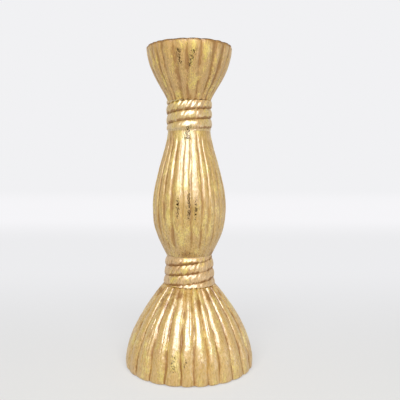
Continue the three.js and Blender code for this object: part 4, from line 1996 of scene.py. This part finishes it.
@dataclass
class Studio:
    """A pale floor, a plain room, a large soft lamp in front, a small one at the right and the camera.

    Attributes:
        paper_grain: The pattern of the paper's fine tone.
        paper_curve: The range of that pattern that is used, and the share of the darker tone at its ends.
        paper_tone: The darker tone, as a share of the colour.
        floor_far: The floor's colour behind the object, as the camera and reflections see it.
        floor_bright: Its colour further back.
        backdrop: The colour of the farthest floor and of the room behind it.
        fade: The distances between which the paper gives way to those colours.
        bright_from: The distances between which floor_far becomes floor_bright.
        bright_to: The distances between which floor_bright becomes the backdrop.
        room_front: The room's colour in front of the object.
        behind: How far a direction points backwards where room_front ends and where the backdrop starts.
        above: How far a direction points up where these end and where room_top starts.
        aim: The point that the lamps are turned to.
        camera_pitch: How many degrees the camera looks down.
        shift: How far the picture is shifted sideways, as a share of its width.
    """

    floor_front: float = -0.45
    floor_back: float = 9.0
    floor_side: float = 7.0
    floor_cuts: int = 8
    floor_colour: Colour = (0.745, 0.743, 0.72)
    paper_grain: Grain = Grain((1.0, 1.0, 1.0), 300.0, 4.0, 0.6)
    paper_curve: tuple[float, float, float, float] = (0.35, 0.65, 0.0, 0.35)
    paper_tone: float = 0.97
    paper_roughness: float = 0.5
    floor_far: Colour = (0.84, 0.84, 0.855)
    floor_bright: Colour = (0.92, 0.915, 0.935)
    backdrop: Colour = (0.880, 0.880, 0.896)
    fade: Span = (-0.42, 0.45)
    bright_from: Span = (0.8, 1.4)
    bright_to: Span = (2.0, 4.0)
    room_front: Colour = (0.43, 0.43, 0.44)
    room_top: Colour = (0.2, 0.2, 0.2)
    behind: Span = (0.0, 0.6)
    above: Span = (0.35, 0.9)
    aim: tuple[float, float, float] = (0.0, 0.0, 0.16)
    key: Lamp = Lamp("key", distance=1.2, elevation=35.0, bearing=-2.0, size=(1.3, 0.6), power=14.0)
    fill: Lamp = Lamp("fill", distance=1.1, elevation=-2.0, bearing=62.0, size=(0.7, 0.22), power=0.75)
    camera_place: tuple[float, float, float] = (0.0, -0.49365, 0.1883)
    camera_pitch: float = 3.562
    lens: float = 46.8
    sensor: float = 36.0
    shift: float = 0.0271
    nearest: float = 0.01

    def build(self) -> None:
        """Sets up everything around the object."""
        self.lay_floor()
        self.light_room()
        self.hang(self.key)
        self.hang(self.fill)
        self.place_camera()
        bpy.context.scene.view_settings.view_transform = "Standard"

    def lay_floor(self) -> None:
        """Lays the floor and its paper."""
        deselect_everything()
        bpy.ops.mesh.primitive_plane_add(size=1)
        floor = bpy.context.object
        floor.name = "floor"
        depth = self.floor_back - self.floor_front
        with edit_mode(floor):
            bpy.ops.transform.resize(value=(2 * self.floor_side, depth, 1), center_override=(0, 0, 0))
            bpy.ops.transform.translate(value=(0, self.floor_front + depth / 2, 0))
            bpy.ops.mesh.subdivide(number_cuts=self.floor_cuts)
        floor.data.materials.append(self.paper())

    def paper(self) -> bpy.types.Material:
        """Builds the floor's material, which fades into the backdrop's colour far behind the object.

        The camera and reflections see that fade, while the paper takes the shadow and lights the object.

        Returns:
            The material.
        """
        material, graph = new_material("floor paper")
        vector = graph.object_place()
        away = graph.split(vector)[1]
        speckle = graph.ramp(graph.grain(vector, self.paper_grain), *self.paper_curve)
        darker = tuple(channel * self.paper_tone for channel in self.floor_colour)
        tone = graph.mix(speckle, self.floor_colour, darker)
        sweep = graph.mix(graph.ramp(away, *self.bright_from), self.floor_far, self.floor_bright)
        sweep = graph.mix(graph.ramp(away, *self.bright_to), sweep, self.backdrop)
        rays = graph.add("ShaderNodeLightPath").outputs
        seen = graph.chain(
            Maths.MAXIMUM, rays["Is Camera Ray"], rays["Is Glossy Ray"], rays["Is Transmission Ray"]
        )
        far = graph.math(Maths.MULTIPLY, graph.ramp(away, *self.fade), seen)
        sheet = graph.add("ShaderNodeBsdfDiffuse", {"Color": tone, "Roughness": self.paper_roughness})
        glow = graph.add("ShaderNodeEmission", {"Color": sweep, "Strength": 1.0})
        blend = graph.add("ShaderNodeMixShader", {0: far, 1: sheet.outputs[0], 2: glow.outputs[0]})
        graph.add("ShaderNodeOutputMaterial", {"Surface": blend.outputs[0]})
        return material

    def light_room(self) -> None:
        """Makes the room: the pale backdrop behind the object, darker in front and overhead."""
        world = bpy.data.worlds.new("room")
        bpy.context.scene.world = world
        world.use_nodes = True
        graph = Graph(world.node_tree)
        direction = graph.split(graph.add("ShaderNodeTexCoord").outputs["Generated"])
        colour = graph.mix(graph.ramp(direction[1], *self.behind), self.room_front, self.backdrop)
        colour = graph.mix(graph.ramp(direction[2], *self.above), colour, self.room_top)
        sky = graph.add("ShaderNodeBackground", {"Color": colour, "Strength": 1.0})
        graph.add("ShaderNodeOutputWorld", {"Surface": sky.outputs[0]})

    def hang(self, lamp: Lamp) -> None:
        """Hangs a lamp, turned towards the middle of the object.

        Args:
            lamp: The lamp's place, size and power.
        """
        lift = math.radians(lamp.elevation)
        side = math.radians(lamp.bearing)
        away = Vector((math.sin(side) * math.cos(lift), -math.cos(side) * math.cos(lift), math.sin(lift)))
        data = bpy.data.lights.new(lamp.name, type="AREA")
        data.shape = "RECTANGLE"
        data.size, data.size_y = lamp.size
        data.energy = lamp.power
        light = bpy.data.objects.new(lamp.name, data)
        light.location = Vector(self.aim) + away * lamp.distance
        light.rotation_euler = away.to_track_quat("Z", "Y").to_euler()
        bpy.context.scene.collection.objects.link(light)

    def place_camera(self) -> None:
        """Puts the camera where the photograph was taken from."""
        data = bpy.data.cameras.new("camera")
        data.lens = self.lens
        data.sensor_width = self.sensor
        data.shift_x = self.shift
        data.clip_start = self.nearest
        camera = bpy.data.objects.new("camera", data)
        camera.location = self.camera_place
        camera.rotation_euler = (math.radians(90 - self.camera_pitch), 0, 0)
        bpy.context.scene.collection.objects.link(camera)
        bpy.context.scene.camera = camera


# The candlestick's own pieces


def base_layers() -> list[BaseLayer]:
    """Describes the felt and the board under the foot.

    Returns:
        The felt and the board.
    """
    felt = BaseLayer(
        name="felt",
        node="felt_pad",
        slot=Slot.FELT,
        finish=Fibrous(
            "felt",
            dark=(0.012, 0.018, 0.01),
            light=(0.06, 0.08, 0.05),
            scale=1500.0,
            bump=0.0004,
            roughness=0.95,
            sheen=0.4,
        ),
        radius=0.053,
        bottom=0.0,
        top=FELT_TOP,
        edge=0.0005,
    )
    board = BaseLayer(
        name="base_board",
        node="base_disc",
        slot=Slot.BOARD,
        finish=Fibrous(
            "fibreboard",
            dark=(0.16, 0.09, 0.04),
            light=(0.36, 0.22, 0.11),
            scale=900.0,
            bump=0.0001,
            roughness=0.8,
        ),
        radius=0.054,
        bottom=FELT_TOP,
        top=BOARD_TOP,
        edge=0.0003,
    )
    return [felt, board]


def castings() -> list[FlutedCasting]:
    """Describes the three gilded castings, from the floor up.

    Returns:
        The foot, the stem and the cup.
    """
    foot = FootBell(
        name="gilded_foot",
        node="foot_bell",
        flutes=Flutes(
            front=(-53, -36, -21, -7, 4.5, 16.5, 26.5, 40, 54.5),
            ribs=26,
            depth=0.0027,
            floor=0.05,
            crown=0.68,
            sharpness=(4.0, 8.0),
            columns=760,
            seed=11,
            shares=(0.75, 1.0),
            line_width=0.8,
        ),
        finish=Gilding(
            "foot gilding",
            ground=(0.74, 0.455, 0.085),
            rubbed=(0.74, 0.44, 0.115),
            patch_scale=150.0,
            leaf_level=0.84,
            glaze_strength=0.85,
            metal=0.24,
            varnish_index=3.1,
        ),
        # The first band is glaze and painted shade under the lower rope; the second darkens the foot's
        # lower edge.
        shades=(Shade(0.050, 0.070, 0.56), Shade(0.0022, 0.0010, 0.6)),
        clusters=(
            FleckCluster(-13.2, 0.012, -13.2, 0.028, 4.0, 0.75),
            FleckCluster(-3, 0.016, -3, 0.0245, 3.0, 0.68),
        ),
    )
    stem = StemBaluster(
        name="gilded_stem",
        node="stem_baluster",
        flutes=Flutes(
            front=(-56, -42.5, -28.5, -10.5, 2.5, 21, 32.5, 44.5, 57),
            ribs=24,
            depth=0.0015,
            floor=0.15,
            crown=0.27,
            sharpness=(3.0, 7.0),
            columns=640,
            seed=23,
            lines=45,
            line_depth=0.1,
        ),
        finish=Gilding(
            "stem gilding",
            ground=(0.68, 0.41, 0.06),
            rubbed=(0.68, 0.39, 0.085),
            patch_scale=125.0,
            leaf_level=0.83,
            glaze_strength=0.66,
            metal=0.26,
            varnish_index=3.0,
            varnish_roughness=0.36,
        ),
        taper=1.4,
        # Both bands are glaze and painted shade beside the rope bindings.
        shades=(Shade(0.118, 0.107, 0.6), Shade(0.216, 0.221, 0.4)),
        clusters=(
            FleckCluster(-17.5, 0.141, -17, 0.162, 4.0, 0.9),
            FleckCluster(-1.6, 0.139, 0.4, 0.167, 4.5, 0.92),
            FleckCluster(9.2, 0.141, 10.2, 0.163, 3.6, 0.88),
            FleckCluster(-6, 0.2125, -4, 0.2235, 15.0, 0.9),
            FleckCluster(0, 0.1065, 0, 0.1115, 60.0, 0.65),
        ),
    )
    cup = CandleCup(
        name="gilded_cup",
        node="candle_cup",
        flutes=Flutes(
            front=(-59, -49, -39.5, -19, -3.5, 16, 37, 50),
            ribs=22,
            depth=0.0017,
            floor=0.2,
            crown=0.5,
            sharpness=(1.4, 3.0),
            columns=640,
            seed=31,
            shares=(0.65, 1.0),
        ),
        finish=Gilding(
            "cup gilding",
            ground=(0.70, 0.425, 0.11),
            glaze=(0.33, 0.15, 0.04),
            patch_scale=130.0,
            leaf_level=0.845,
            glaze_strength=0.68,
            varnish=0.85,
        ),
        # The first band is glaze and painted shade above the upper rope; the second darkens the lip's top
        # edge.
        shades=(Shade(0.258, 0.251, 0.5), Shade(0.2974, 0.2986, 1.4)),
        clusters=(
            FleckCluster(-12.5, 0.277, -13.5, 0.293, 5.5, 0.88),
            FleckCluster(-0.5, 0.274, 7.5, 0.293, 5.5, 0.88),
            # A close ring of flecks that darkens the lip's top edge all round.
            FleckCluster(0, 0.2988, 0, 0.3016, 400.0, 0.95),
        ),
    )
    return [foot, stem, cup]


def ropes() -> list[RopeBinding]:
    """Describes the two rope bindings, from the floor up.

    Returns:
        The lower and the upper binding.
    """
    lower = RopeBinding(
        name="lower_rope",
        node="lower_rope_binding",
        neck=LOWER_NECK,
        spool_bottom=0.0193,
        spool_top=0.0172,
        start=135,
        end_radii=(0.0260, 0.0214),
        lay_depths=(0.0005, 0.0006, 0.0006),
        tilt=0.06,
        finish=Gilding(
            "lower rope gilding",
            ground=(0.77, 0.50, 0.20),
            leaf_level=0.88,
            glaze_level=0.45,
            varnish_index=2.5,
        ),
    )
    upper = RopeBinding(
        name="upper_rope",
        node="upper_rope_binding",
        neck=UPPER_NECK,
        spool_bottom=0.0161,
        spool_top=0.0161,
        start=240,
        end_radii=(0.0199, 0.0235),
        lay_depths=(0.00025, 0.0003, 0.0011),
        tilt=0.025,
        clusters=(
            FleckCluster(-4, 0.221, 0, 0.2275, 13.0, 0.85),
            FleckCluster(0, 0.2485, 0, 0.2505, 60.0, 0.75),
        ),
        finish=Gilding(
            "upper rope gilding",
            ground=(0.77, 0.525, 0.16),
            leaf_level=0.86,
            glaze_level=0.48,
            varnish_index=3.2,
        ),
    )
    return [lower, upper]


def main() -> None:
    """Builds the effects and the pieces in order, dresses the kept nodes and sets up the studio."""
    logging.basicConfig(level=logging.INFO, format="%(message)s")
    for effect in (LeafTones, GrooveGlazeAndShade, DarkFlecks, MetalWear, FibreFuzz):
        effect.build()
    brass = PlainMetal("spun brass", clean=(0.74, 0.52, 0.2), stained=(0.42, 0.25, 0.09), scale=90.0)
    zinc = (0.6, 0.61, 0.6)
    steel = PlainMetal("zinc plate", clean=zinc, stained=(0.4, 0.41, 0.4), scale=160.0)
    threaded = PlainMetal(
        "zinc thread", clean=zinc, stained=(0.36, 0.36, 0.35), scale=160.0, thread_pitch=0.00125
    )
    for part in (*base_layers(), *castings(), *ropes(), CandlePan(brass)):
        piece = part.build()
        LOG.info("%s: %d faces", piece.name, len(piece.data.polygons))
    for name in Hardware(steel, threaded, CastGround()).dress():
        LOG.info("%s: dressed", name)
    Studio().build()


if __name__ == "__main__":
    main()
